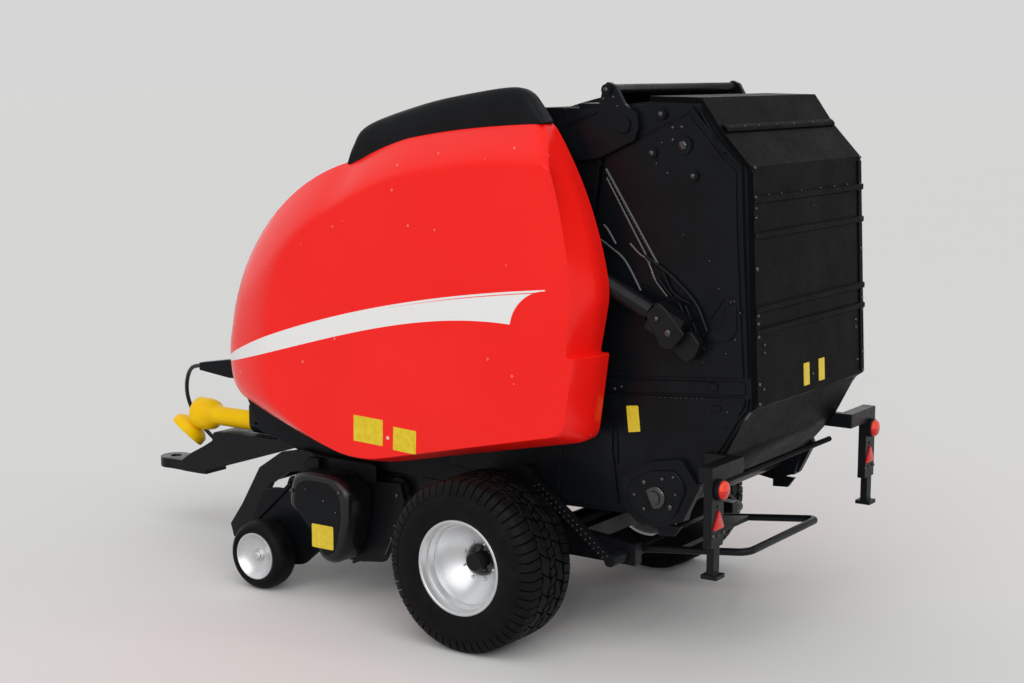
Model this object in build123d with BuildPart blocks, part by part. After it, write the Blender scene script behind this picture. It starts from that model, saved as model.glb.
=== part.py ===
# A 1:32 scale model of a round baler: a chamber on two wheels with a hinged tailgate, side covers,
# a lifting pickup on gauge wheels and a drawbar. X points at the drawbar, Y to the left, Z up.
# Places along the machine are measured from the main axle, and heights from the ground.
from build123d import *

import os
from math import cos, hypot, pi, radians, sin, sqrt, tan

os.makedirs("parts", exist_ok=True)

# Reach ahead of and behind the main axle
hitch_reach = 108.8
rear_reach = 47.0
axle_x = (rear_reach - hitch_reach) / 2
rear_x = -rear_reach

# Chamber shell and its rollers
chamber_half = 21.2
side_wall = 1.2
sheet = 0.9
parting_gap = 0.4
roller_radius = 3.0
stub_radius = 1.0

# Main wheels and axle
tyre_radius = 15.2
tyre_width = 14.0
tyre_gap = 3.8
rim_radius = 8.4
rim_wall = 0.7
hub_radius = 2.9
spindle_radius = 1.5
axle_radius = 2.2
turn_clearance = 0.08

# Gauge wheels
gauge_x = 54.8
gauge_radius = 6.65
gauge_width = 5.6
gauge_gap = 1.6
gauge_rim_radius = 4.6
gauge_spindle_radius = 0.8

# Chassis and drawbar
beam_inset = 2.2
beam_wall = 2.2
root_x = 64.0
hitch_z = 12.6
hitch_thickness = 2.2
hitch_nose_radius = 3.4
hitch_bore = 1.2
drawbar_half = 3.4
shaft_z = 25.2
shaft_radius = 2.05

# Tailgate hinge
pivot_x = -22.4
pivot_z = 90.2
pivot_radius = 1.3
pivot_clearance = 0.08
ear_gap = 0.2
ear_wall = 1.0

# Tailgate cylinders
cylinder_gap = 0.2
cylinder_radius = 1.6
cylinder_bore = 1.25
rod_radius = 0.95
cylinder_base = (-3.0, 72.5)
rod_eye = (-32.4, 58.3)
barrel_length = 29.0
rod_inset = 6.0
pin_radius = 0.85
pin_clearance = 0.15

# Side covers
cover_gap = 0.2
cover_depth = 9.0
cover_nose_radius = 20.0
cover_wall = 1.0
keel_drop = 0.9

# Pickup
pickup_gap = 0.4
pickup_wall = 1.2
lift_x = 27.0
lift_z = 21.6
lift_radius = 1.2
lift_clearance = 0.1
reel_x = 43.6
reel_z = 14.6
tine_reach = 7.4
tine_width = 0.5
band_radius = 5.9
band_sheet = 0.5
band_width = 2.0
band_count = 12
guard_wall = 1.2
housing_depth = 6.7
housing_wall = 1.0

# Faces across the machine, each from the one that it stands beside
chamber_inner = chamber_half - side_wall
beam_outer_y = chamber_half - beam_inset
beam_inner_y = beam_outer_y - beam_wall
ear_outer_y = chamber_half + ear_gap + ear_wall
cylinder_y = ear_outer_y + cylinder_gap + cylinder_radius
cover_inner_y = cylinder_y + cylinder_radius + cover_gap
cover_y = cover_inner_y + cover_depth
tyre_inner_y = chamber_half + tyre_gap
tyre_outer_y = tyre_inner_y + tyre_width
pickup_half = chamber_half + pickup_gap
pickup_inner = pickup_half - pickup_wall
guard_outer_y = pickup_half + guard_wall
housing_outer_y = guard_outer_y + housing_depth
gauge_inner_y = guard_outer_y + gauge_gap
gauge_outer_y = gauge_inner_y + gauge_width
both_sides = ((1, "left"), (-1, "right"))


def side_plane(y):
    return Plane(origin=(axle_x, y, 0), x_dir=(1, 0, 0), z_dir=(0, -1, 0))


# A flat face in a vertical plane along the machine, from its corners (x from the axle, height)
def side_face(corners, y, rounding=0, shrink=0):
    with BuildSketch(side_plane(y)) as face:
        with BuildLine():
            Polyline(*corners, close=True)
        make_face()
        if rounding:
            fillet(face.vertices(), radius=rounding)
        if shrink:
            offset(amount=-shrink, mode=Mode.REPLACE)
    return face.sketch


def round_face(x, z, radius, y):
    with BuildSketch(side_plane(y)) as face:
        with Locations((x, z)):
            Circle(radius)
    return face.sketch


# A face to turn about a wheel's axle, from its corners (place across, reach from the axle)
def wheel_face(x, z, corners):
    with BuildSketch(Plane.YZ.offset(axle_x + x)) as face:
        with BuildLine():
            Polyline(*[(y, z + reach) for y, reach in corners], close=True)
        make_face()
    return face.sketch


# A rod or tube across the machine, between two places in Y
def cross_rod(x, z, radius, y_from, y_to, mode=Mode.ADD):
    extrude(round_face(x, z, radius, y_to), amount=y_to - y_from, mode=mode)


def block(x_range, y_range, z_range, mode=Mode.ADD):
    middle = [(low + high) / 2 for low, high in (x_range, y_range, z_range)]
    size = [high - low for low, high in (x_range, y_range, z_range)]
    with Locations((axle_x + middle[0], middle[1], middle[2])):
        Box(*size, mode=mode)


# The closed outline of a bent sheet: a run of corners and the same run moved to its right
def sheet_outline(corners, thickness):
    moved = []
    for i, (x, z) in enumerate(corners):
        turns = []
        for a, b in zip(corners[max(i - 1, 0):i + 1], corners[max(i, 1):i + 2]):
            if a != b:
                run = hypot(b[0] - a[0], b[1] - a[1])
                turns.append(((b[1] - a[1]) / run, -(b[0] - a[0]) / run))
        nx = sum(t[0] for t in turns) / len(turns)
        nz = sum(t[1] for t in turns) / len(turns)
        grow = thickness / (nx * nx + nz * nz)
        moved.append((x + nx * grow, z + nz * grow))
    return list(corners) + moved[::-1]


# The two places of a piece that stands between them on one side, lowest first
def span_y(side, near, far):
    return sorted((side * near, side * far))


def keep(piece, name):
    piece.part.label = name
    export_step(piece.part, f"parts/{name}.step")


# Chassis: two beams with cross members, bored for the axle, the pickup's pivot and the ramp's bar
lift_lug_wall = 1.3
ramp_front_x = -21.1
ramp_front_z = 16.4
ramp_bar_radius = 1.1
beam_corners = [(-23.5, 14.8), (-23.5, 18.6), (-8, 19.6), (-4, 23.8), (22, 24.4), (40, 28), (52, 31),
                (root_x, 33.4), (root_x, 30.2), (54, 28), (40, 25.0), (26, 20.6),
                (6, tyre_radius + axle_radius + 1.1), (4, tyre_radius - axle_radius - 0.4),
                (-4, tyre_radius - axle_radius - 0.4), (-7, tyre_radius - 0.4)]
cross_members = ((-10.5, -8.0, 15.6, 18.6), (11.0, 14.0, 21.6, 23.8), (58.5, 61.0, 29.8, 31.8))
with BuildPart() as chassis_frame:
    for side, _ in both_sides:
        extrude(side_face(beam_corners, side * beam_outer_y), amount=side * beam_wall)
        extrude(round_face(lift_x, lift_z, lift_radius + lift_lug_wall, side * beam_outer_y),
                amount=side * beam_wall)
    for x_from, x_to, z_from, z_to in cross_members:
        block((x_from, x_to), (-beam_inner_y, beam_inner_y), (z_from, z_to))
    for x, z, radius in ((0, tyre_radius, axle_radius), (lift_x, lift_z, lift_radius),
                         (ramp_front_x, ramp_front_z, ramp_bar_radius)):
        cross_rod(x, z, radius, -beam_outer_y, beam_outer_y, mode=Mode.SUBTRACT)
keep(chassis_frame, "chassis_frame")

# Main axle with a spindle for each wheel
rim_setback = 0.4
rim_face_y = tyre_outer_y - rim_setback
axle_end_y = tyre_inner_y - 0.6
spindle_end_y = rim_face_y - 4.6
with BuildPart() as main_axle:
    cross_rod(0, tyre_radius, axle_radius, -axle_end_y, axle_end_y)
    cross_rod(0, tyre_radius, spindle_radius, -spindle_end_y, spindle_end_y)
keep(main_axle, "main_axle")

# Fixed front half of the chamber
parting_top_x = -17.8
parting_bottom_x = -9.0
parting_shoulder_z = 85.4
chamber_bottom_z = 24.6
chamber_top_z = 92.8
front_profile = [(-5.0, chamber_top_z), (12, 89.0), (27, 82.2), (41, 71.6), (50.5, 59.5), (54.5, 47),
                 (60, 40.5)]
side_corners = [(parting_top_x + parting_gap, chamber_top_z)] + front_profile + [
    (66.6, 39.6), (63.6, 34.7), (60.6, 29.2), (50.8, 26.4), (30, 25.2),
    (parting_bottom_x + parting_gap, chamber_bottom_z), (parting_top_x + parting_gap, parting_shoulder_z)]
roller_places = {"chamber_roller_lower": (-3.5, 28.6), "chamber_roller_front": (13.5, 29.4)}
for side, name in both_sides:
    with BuildPart() as chamber_side:
        extrude(side_face(side_corners, side * chamber_half), amount=side * side_wall)
        for x, z in roller_places.values():
            cross_rod(x, z, stub_radius, -chamber_half, chamber_half, mode=Mode.SUBTRACT)
    keep(chamber_side, f"chamber_side_{name}")

with BuildPart() as chamber_front:
    front_wall = sheet_outline(front_profile + [(63.0, 37.0), (62.0, 34.6)], sheet)
    extrude(side_face(front_wall, chamber_inner), amount=2 * chamber_inner)
keep(chamber_front, "chamber_front")

for name, (x, z) in roller_places.items():
    with BuildPart() as roller:
        cross_rod(x, z, roller_radius, -chamber_inner, chamber_inner)
        cross_rod(x, z, stub_radius, -chamber_half, chamber_half)
    keep(roller, name)

# Tailgate hinge: ears on the chamber sides, with a cross tube, its fins and the pivot rod
ear_corners = [(-8, 84.0), (-8, 92.2), (-17.6, 92.9), (-18.3, 96.3), (-19.2, 97.2), (-20.6, 96.6),
               (-22.4, 93.6), (-24.8, 92.2), (-25.2, 89.8), (-24.4, 87.7), (-17.7, 84.7), (-14.6, 84.2)]
ear_foot_corners = [(-8.4, 84.4), (-8.4, 91.8), (-17.0, 92.2), (-17.0, 85.6), (-14.6, 84.8)]
tube_x = -19.2
tube_z = 95.9
tube_radius = 0.9
tube_stand_out = 0.5
pivot_stand_out = 0.4
fin_count = 7
fin_width = 0.8
fin_pitch = 2 * (chamber_inner - 2.0) / (fin_count - 1)
fin_corners = [(tube_x, tube_z), (tube_x - 0.6, tube_z), (-17.0, 93.3), (-14.5, 93.3)]
deck_x = (-17.2, -13.0)
deck_thickness = 0.8
with BuildPart() as hinge_frame:
    for side, _ in both_sides:
        extrude(side_face(ear_corners, side * ear_outer_y, rounding=0.5), amount=side * ear_wall)
        foot = side_face(ear_foot_corners, side * (ear_outer_y - ear_wall))
        extrude(foot, amount=side * ear_gap)
    tube_end_y = ear_outer_y + tube_stand_out
    pivot_end_y = ear_outer_y + pivot_stand_out
    cross_rod(tube_x, tube_z, tube_radius, -tube_end_y, tube_end_y)
    cross_rod(pivot_x, pivot_z, pivot_radius, -pivot_end_y, pivot_end_y)
    for i in range(fin_count):
        y = (i - (fin_count - 1) / 2) * fin_pitch
        extrude(side_face(fin_corners, y + fin_width / 2), amount=fin_width)
    block(deck_x, (-chamber_half, chamber_half), (chamber_top_z, chamber_top_z + deck_thickness))
keep(hinge_frame, "hinge_frame")

# Drawbar with its cross bar and the hitch plate
bar_depth = 1.6
bar_z = (29.4, 33.4)
tongue_x = hitch_reach - 8.4
tongue_top_z = hitch_z + hitch_thickness + 0.2
plate_x = tongue_x - 7.0
plate_half = 3.2
hitch_bore_x = hitch_reach - hitch_nose_radius
drawbar_corners = [(root_x, 31.6), (root_x, 22.8), (root_x + 6, 20.8), (tongue_x - 19.8, 17.4),
                   (tongue_x - 12.8, 15.2), (plate_x, hitch_z + 0.9), (plate_x + 2.0, hitch_z),
                   (tongue_x, hitch_z), (tongue_x, tongue_top_z), (tongue_x - 2.9, 16.9),
                   (tongue_x - 6.6, 18.8), (tongue_x - 9.2, 20.3), (tongue_x - 9.7, 22.2),
                   (tongue_x - 13, 22.6), (root_x + bar_depth, 22.8), (root_x + bar_depth, 31.6)]
with BuildPart() as drawbar:
    extrude(side_face(drawbar_corners, drawbar_half), amount=2 * drawbar_half)
    with BuildSketch(Plane.XY.offset(hitch_z)) as hitch:
        with Locations((axle_x + (plate_x + hitch_bore_x) / 2, 0)):
            Rectangle(hitch_bore_x - plate_x, 2 * plate_half)
        with Locations((axle_x + hitch_bore_x, 0)):
            Circle(hitch_nose_radius)
            Circle(hitch_bore, mode=Mode.SUBTRACT)
    extrude(amount=hitch_thickness)
    block((root_x, root_x + bar_depth), (-beam_outer_y, beam_outer_y), bar_z)
keep(drawbar, "drawbar")

# Gearbox between the drawbar's root and the shaft
gearbox_length = 4.4
gearbox_half = 3.2
gearbox_z = (22.8, 34.2)
shaft_start_x = root_x + bar_depth + gearbox_length
with BuildPart() as gearbox:
    block((root_x + bar_depth, shaft_start_x), (-gearbox_half, gearbox_half), gearbox_z)
keep(gearbox, "gearbox")

# Drive shaft with the open bell of its guard, and the cone of the guard's front joint, which hangs bent
bell_x = hitch_reach - 16.4
bell_length = 5.4
bell_floor = 1.6
bell_radius = 3.5
bell_wall = 0.7
shaft_profile = [(shaft_start_x, 0), (shaft_start_x, shaft_radius), (bell_x, shaft_radius),
                 (bell_x + 1.2, bell_radius - 0.3), (bell_x + bell_length, bell_radius),
                 (bell_x + bell_length, bell_radius - bell_wall),
                 (bell_x + bell_floor, bell_radius - bell_wall - 0.2), (bell_x + bell_floor, 0)]
with BuildPart() as pto_shaft:
    with BuildSketch(Plane.XZ) as half:
        with BuildLine():
            Polyline(*[(axle_x + x, shaft_z + reach) for x, reach in shaft_profile], close=True)
        make_face()
    revolve(axis=Axis((axle_x, 0, shaft_z), (1, 0, 0)))
keep(pto_shaft, "pto_shaft")

joint_neck_radius = 0.9
neck_inset = 0.4
socket_radius = 1.3
socket_depth = 1.8
cone_centre = (bell_x + 7.3, -0.8, shaft_z - 2.4)
cone_axis = Vector(0.45, 0.55, -0.70).normalized()
cone_length = 1.8
cone_lip = 0.8
cone_back_radius = 1.7
cone_front_radius = 4.1
cone_start = Vector(axle_x + cone_centre[0], cone_centre[1], cone_centre[2])
neck_start = Vector(axle_x + bell_x + bell_floor, 0, shaft_z)
with BuildPart() as pto_cone:
    with BuildSketch(Plane(origin=cone_start, x_dir=(0, 1, 0.7857), z_dir=cone_axis)):
        Circle(cone_back_radius)
    cone_end = cone_start + cone_axis * cone_length
    with BuildSketch(Plane(origin=cone_end, x_dir=(0, 1, 0.7857), z_dir=cone_axis)):
        Circle(cone_front_radius)
    loft()
    with BuildSketch(Plane(origin=cone_end, z_dir=cone_axis)):
        Circle(cone_front_radius)
    extrude(amount=cone_lip)
    with BuildSketch(Plane(origin=neck_start, z_dir=(1, 0, 0))):
        Circle(joint_neck_radius)
    neck_run = cone_start - neck_start
    extrude(amount=neck_run.length + neck_inset, dir=neck_run.normalized())
    with BuildSketch(Plane(origin=cone_end + cone_axis * cone_lip, z_dir=cone_axis)):
        Circle(socket_radius)
    extrude(amount=-socket_depth, mode=Mode.SUBTRACT)
keep(pto_cone, "pto_cone")

# Holder that carries the hose over the shaft
holder_half = 1.1
holder_corners = [(63.02, 37.0), (61.74, 38.5), (88, 37.9), (96.6, 36.5), (96.6, 34.9), (88, 34.0),
                  (68.5, 34.7)]
with BuildPart() as hose_holder:
    extrude(side_face(holder_corners, holder_half), amount=2 * holder_half)
keep(hose_holder, "hose_holder")

# The hose leaves the holder's tip, falls in front of the shaft and ends on the drawbar
hose_radius = 0.45
hose_points = [(96.75, 0, 35.7), (99.7, -0.6, 35.4), (102.5, -1.8, 33.8), (104.5, -2.9, 31.0),
               (105.4, -3.8, 27.8), (105.0, -4.8, 24.4), (103.3, -5.5, 21.4), (100.6, -5.8, 19.0),
               (97.2, -5.6, 17.2), (93.0, -5.0, 16.3)]
route = [Vector(axle_x + x, y, z) for x, y, z in hose_points]
radii = []
for before, corner, after in zip(route, route[1:], route[2:]):
    turn = (corner - before).get_angle(after - corner)
    run = min((corner - before).length, (after - corner).length)
    radii.append(0.45 * run / tan(radians(turn / 2)))
print("hose bend radii:", [round(radius, 2) for radius in radii])
with BuildPart() as hydraulic_hose:
    with BuildLine() as path:
        FilletPolyline(*route, radius=radii)
    with BuildSketch(Plane(origin=route[0], z_dir=route[1] - route[0])):
        Circle(hose_radius)
    sweep()
keep(hydraulic_hose, "hydraulic_hose")
hose_length = sum(edge.length for edge in path.edges())
print("hose length:", round(hose_length, 2), "volume:", round(hydraulic_hose.part.volume, 3),
      "section times length:", round(hose_length * pi * hose_radius**2, 3))

coupling_radius = 0.8
coupling_length = 2.4
clip_x = (91.2, 92.8)
clip_end_y = -5.4
clip_z = (15.4, 16.9)
with BuildPart() as hose_coupling:
    with BuildSketch(Plane(origin=route[-1], z_dir=route[-1] - route[-2])):
        Circle(coupling_radius)
    extrude(amount=coupling_length)
    block(clip_x, (clip_end_y, -drawbar_half), clip_z)
keep(hose_coupling, "hose_coupling")

# Side covers: corners of the outer face and of the rim, and the arc middles between them
tyre_top_z = 2 * tyre_radius
keel_z = tyre_top_z - keel_drop
chin_z = 38.4
face_lift = 1.7
keel_rise = 0.35 * (chin_z - keel_z)
back_rise = 8.5
face_corners = {"front": (45.3, 50), "brow": (31, 73.7), "crown": (8, 81.8), "back_top": (-16.0, 83.8),
                "back_middle": (-20.0, 62), "notch_top": (-19.2, 52.8), "notch_out": (-20.8, 52.8),
                "back_bottom": (-18.8, keel_z + back_rise + 1.8), "keel": (24, keel_z + face_lift),
                "chin": (45.4, chin_z + 1.2)}
face_middles = {"front": (42.0, 64.6), "brow": (20.5, 78.8), "crown": (-4, 83.2), "back_top": (-18.7, 73.4),
                "keel": (36, keel_z + 1.6 + keel_rise), "chin": (45.8, chin_z + 5.8)}
rim_corners = {"front": (59.9, 51), "brow": (29, 83.2), "crown": (12, 88.9), "back_top": (-10.8, 91.0),
               "back_middle": (-22.4, 62.6), "notch_top": (-20.6, 52.8), "notch_out": (-22.3, 52.8),
               "back_bottom": (-20.3, keel_z + back_rise), "keel": (24.5, keel_z), "chin": (59.2, chin_z)}
rim_middles = {"front": (50.8, 70.4), "brow": (20.8, 86.9), "crown": (0.4, 90.2), "back_top": (-18.1, 78.0),
               "keel": (42, keel_z + keel_rise), "chin": (60.6, chin_z + 6.4)}
cover_centre = (18, 60)
nose_centre_x = face_corners["front"][0]
nose_centre_y = cover_y - cover_nose_radius
lean_y = cover_y - 6.0
rim_nose_x = nose_centre_x + sqrt(cover_nose_radius**2 - (lean_y - nose_centre_y)**2)


# A section of the cover at one place across, drawn in from its outside by a wall's thickness
def cover_section(y, shrink):
    blend = min(1, max(0, (cover_y - shrink - y) / (cover_y - lean_y)))
    depth = min(y + shrink - nose_centre_y, cover_nose_radius)
    nose_x = nose_centre_x + sqrt(cover_nose_radius**2 - depth**2)

    def place(name, near, far):
        x = near[name][0] + (far[name][0] - near[name][0]) * blend
        z = near[name][1] + (far[name][1] - near[name][1]) * blend
        ahead = max(0, (x - cover_centre[0]) / (rim_nose_x - cover_centre[0]))
        x += ahead**2 * (nose_x - (face_corners["front"][0] * (1 - blend) + rim_nose_x * blend))
        reach = hypot(x - cover_centre[0], z - cover_centre[1])
        draw_in = 1.1 * shrink / reach
        return (x - draw_in * (x - cover_centre[0]), z - draw_in * (z - cover_centre[1]))

    names = list(rim_corners)
    with BuildSketch(side_plane(y)) as section:
        with BuildLine():
            for name, after in zip(names, names[1:] + names[:1]):
                start = place(name, face_corners, rim_corners)
                end = place(after, face_corners, rim_corners)
                if name in rim_middles:
                    ThreePointArc(start, place(name, face_middles, rim_middles), end)
                else:
                    Line(start, end)
        make_face()
    return section.sketch


section_places = (cover_y, cover_y - 1.4, cover_y - 3.4, lean_y, cover_inner_y)
with BuildPart() as cover_solid:
    loft([cover_section(y, 0) for y in section_places], ruled=True)
with BuildPart() as cover_shape:
    add(cover_solid.part)
    loft([cover_section(y - cover_wall, cover_wall) for y in section_places], ruled=True, mode=Mode.SUBTRACT)
for side, name in both_sides:
    with BuildPart() as side_cover:
        if side > 0:
            add(cover_shape.part)
        else:
            mirror(cover_shape.part, about=Plane.XZ)
    keep(side_cover, f"side_cover_{name}")

# Strip along each cover's top, cut to sit on the cover
trim_corners = [(-10.4, 90.3), (-8.7, 94.2), (-6.3, 96.2), (3.5, 95.3), (14.1, 93.3), (26.1, 89.7),
                (30.5, 83.4), (29, 80), (12, 84)]
trim_width = 3.2
trim_outer_y = cover_inner_y + 0.4 + trim_width
with BuildPart() as trim_shape:
    extrude(side_face(trim_corners, trim_outer_y), amount=trim_width)
    add(cover_solid.part, mode=Mode.SUBTRACT)
for side, name in both_sides:
    with BuildPart() as cover_trim:
        if side > 0:
            add(trim_shape.part)
        else:
            mirror(trim_shape.part, about=Plane.XZ)
    keep(cover_trim, f"cover_trim_{name}")

# Stays that carry each cover from the chamber side: three rods and an angle under its top edge
stay_radius = 1.2
stay_places = ((34, 58), (-8, 50), (22, keel_z + 8.5))
angle_flange = 1.5
angle_x = (-1, 5)
angle_z = 85.0
angle_sheet = 1.4
angle_top_z = 88.7
with BuildPart() as stay_shape:
    for x, z in stay_places:
        cross_rod(x, z, stay_radius, chamber_half, cover_y - cover_wall)
    block(angle_x, (chamber_half, cover_inner_y + angle_flange), (angle_z, angle_z + angle_sheet))
    block(angle_x, (cover_inner_y, cover_inner_y + angle_flange), (angle_z, angle_top_z))
for side, name in both_sides:
    with BuildPart() as cover_stays:
        if side > 0:
            add(stay_shape.part)
        else:
            mirror(stay_shape.part, about=Plane.XZ)
    keep(cover_stays, f"cover_stays_{name}")

# Tailgate sides with the bearing plate of the lower roller and the bosses
tailgate_side_corners = [(-19.4, 91.6), (-21.0, 93.4), (-26.5, 94.0), (rear_x + 11.0, 93.8),
                         (rear_x + 7.7, 89.1), (rear_x + 2.5, 83.5), (rear_x + 0.8, 45.2),
                         (rear_x + 6.0, 37.2), (rear_x + 10.8, 31.2), (rear_x + 12.6, 24.9),
                         (-10.0, chamber_bottom_z - 0.4),
                         (parting_bottom_x, chamber_bottom_z + 0.6),
                         (parting_top_x - parting_gap, parting_shoulder_z)]
bearing_corners = [(-22.6, 31.0), (-23.3, 26.2), (-25.7, 23.8), (-29.6, 23.2), (-34.6, 25.0), (-37.6, 31.0),
                   (-34.2, 35.6), (-28.5, 34.4)]
bearing_height = 1.4
boss_height = 0.8
bosses = ((-33.3, 87.1, 1.5), (-29.1, 92.0, 0.9), (-27.5, 85.7, 0.9), (-35.2, 82.2, 0.9))
tailgate_rollers = (("tailgate_roller_lower", -29.6, 28.6, roller_radius),
                    ("tailgate_roller_upper", rear_x + 8.4, 82.4, 2.2))
for side, name in both_sides:
    with BuildPart() as tailgate_side:
        extrude(side_face(tailgate_side_corners, side * chamber_half), amount=side * side_wall)
        extrude(side_face(bearing_corners, side * (chamber_half + bearing_height), rounding=1.2),
                amount=side * bearing_height)
        for x, z, radius in bosses:
            extrude(round_face(x, z, radius, side * (chamber_half + boss_height)), amount=side * boss_height)
        pivot_bore = pivot_radius + pivot_clearance
        cross_rod(pivot_x, pivot_z, pivot_bore, -ear_outer_y, ear_outer_y, mode=Mode.SUBTRACT)
        for _, x, z, _ in tailgate_rollers:
            cross_rod(x, z, stub_radius, -chamber_half, chamber_half, mode=Mode.SUBTRACT)
    keep(tailgate_side, f"tailgate_side_{name}")

for name, x, z, radius in tailgate_rollers:
    with BuildPart() as roller:
        cross_rod(x, z, radius, -chamber_inner, chamber_inner)
        cross_rod(x, z, stub_radius, -chamber_half, chamber_half)
    keep(roller, name)

# Bent sheet over the tailgate's top and rear, with ribs across it
skin_corners = [(rear_x + 10.4, 30.8), (rear_x + 5.4, 36.8), (rear_x + 1.6, 44.2), (rear_x, 45.3),
                (rear_x + 1.8, 83.96), (rear_x + 7.06, 89.53), (rear_x + 10.85, 94.77), (-26.6, 94.9)]
rib_places = ((rear_x + 1.55, 78.6), (rear_x + 1.3, 72.9), (rear_x + 0.75, 61.1), (rear_x + 0.6, 57.5))
rib_height = 0.5
rib_half = 0.9
rib_root = 0.3
rib_slope = 0.5
with BuildPart() as tailgate_skin:
    extrude(side_face(sheet_outline(skin_corners, sheet), chamber_half), amount=2 * chamber_half)
    for x, z in rib_places:
        rib = [(x + rib_root, z + rib_half), (x - rib_height, z + rib_half - rib_slope),
               (x - rib_height, z - rib_half + rib_slope), (x + rib_root, z - rib_half)]
        extrude(side_face(rib, chamber_half), amount=2 * chamber_half)
    for side, _ in both_sides:
        side_place = side_face(tailgate_side_corners, side * chamber_half)
        extrude(side_place, amount=side * side_wall, mode=Mode.SUBTRACT)
keep(tailgate_skin, "tailgate_skin")

# Light brackets and lamps at the tailgate's lower corners
bracket_x = rear_x + 2.0
bracket_inner_y = chamber_half + 6.8
bracket_outer_y = bracket_inner_y + 4.0
leg_inner_y = bracket_inner_y + 1.1
leg_outer_y = leg_inner_y + 2.0
lamp_y = bracket_inner_y + 1.8
lamp_z = 33.4
lamp_radius = 1.75
lamp_depth = 1.3
plate_z = (24.0, 36.0)
plate_wall = 1.5
arm_z = (34.6, 37.2)
arm_depth = 2.4
arm_foot = 6.6
arm_foot_wall = 1.4
leg_z = 19.6
leg_wall = 1.3
leg_foot_z = 18.9
leg_foot_margin = 0.5
leg_foot_x = (bracket_x - 0.8, bracket_x + 2.1)
for side, name in both_sides:
    with BuildPart() as light_bracket:
        block((bracket_x, bracket_x + plate_wall), span_y(side, bracket_inner_y, bracket_outer_y), plate_z)
        block((bracket_x, bracket_x + arm_depth), span_y(side, chamber_half, bracket_outer_y), arm_z)
        arm_foot_y = span_y(side, chamber_half, chamber_half + arm_foot_wall)
        block((bracket_x, bracket_x + arm_foot), arm_foot_y, arm_z)
        block((bracket_x, bracket_x + leg_wall), span_y(side, leg_inner_y, leg_outer_y), (leg_z, plate_z[0]))
        leg_foot_y = span_y(side, leg_inner_y - leg_foot_margin, leg_outer_y + leg_foot_margin)
        block(leg_foot_x, leg_foot_y, (leg_foot_z, leg_z))
    keep(light_bracket, f"light_bracket_{name}")
    with BuildPart() as rear_lamp:
        with BuildSketch(Plane(origin=(axle_x + bracket_x, side * lamp_y, lamp_z), x_dir=(0, 1, 0),
                               z_dir=(-1, 0, 0))):
            Circle(lamp_radius)
        extrude(amount=lamp_depth)
    keep(rear_lamp, f"rear_lamp_{name}")

# Tailgate cylinders: barrels on pins of the chamber sides, and rods that end in square blocks
base = Vector(axle_x + cylinder_base[0], 0, cylinder_base[1])
eye = Vector(axle_x + rod_eye[0], 0, rod_eye[1])
along = (eye - base).normalized()
span = (eye - base).length
bore_start = 3.0
barrel_eye_radius = 2.1
spacer_radius = 1.8
spacer_clearance = 0.15
pin_stand_out = 0.4
end_block_length = 6.0
end_block_width = 3.4
end_block_depth = 4.6
barrel_inner_y = cylinder_y - cylinder_radius
barrel_outer_y = cylinder_y + cylinder_radius
for side, name in both_sides:
    across = Vector(0, side * cylinder_y, 0)
    ends = span_y(side, barrel_inner_y, barrel_outer_y)
    with BuildPart() as cylinder_barrel:
        with BuildSketch(Plane(origin=base + across, x_dir=(0, 1, 0), z_dir=along)):
            Circle(cylinder_radius)
        extrude(amount=barrel_length)
        bore_plane = Plane(origin=base + across + along * bore_start, x_dir=(0, 1, 0), z_dir=along)
        with BuildSketch(bore_plane):
            Circle(cylinder_bore)
        extrude(amount=barrel_length, mode=Mode.SUBTRACT)
        cross_rod(*cylinder_base, barrel_eye_radius, *ends)
        cross_rod(*cylinder_base, pin_radius + pin_clearance, *ends, mode=Mode.SUBTRACT)
    keep(cylinder_barrel, f"cylinder_barrel_{name}")
    with BuildPart() as cylinder_rod:
        rod_plane = Plane(origin=base + across + along * rod_inset, x_dir=(0, 1, 0), z_dir=along)
        with BuildSketch(rod_plane):
            Circle(rod_radius)
        extrude(amount=span - rod_inset)
        block_start = eye + across - along * end_block_length / 2
        with BuildSketch(Plane(origin=block_start, x_dir=(0, 1, 0), z_dir=along)):
            Rectangle(end_block_width, end_block_depth)
        extrude(amount=end_block_length)
    keep(cylinder_rod, f"cylinder_rod_{name}")
    with BuildPart() as cylinder_pin:
        cross_rod(*cylinder_base, pin_radius, *span_y(side, chamber_half, barrel_outer_y + pin_stand_out))
        spacer_end_y = barrel_inner_y - spacer_clearance
        cross_rod(*cylinder_base, spacer_radius, *span_y(side, chamber_half, spacer_end_y))
    keep(cylinder_pin, f"cylinder_pin_{name}")

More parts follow.
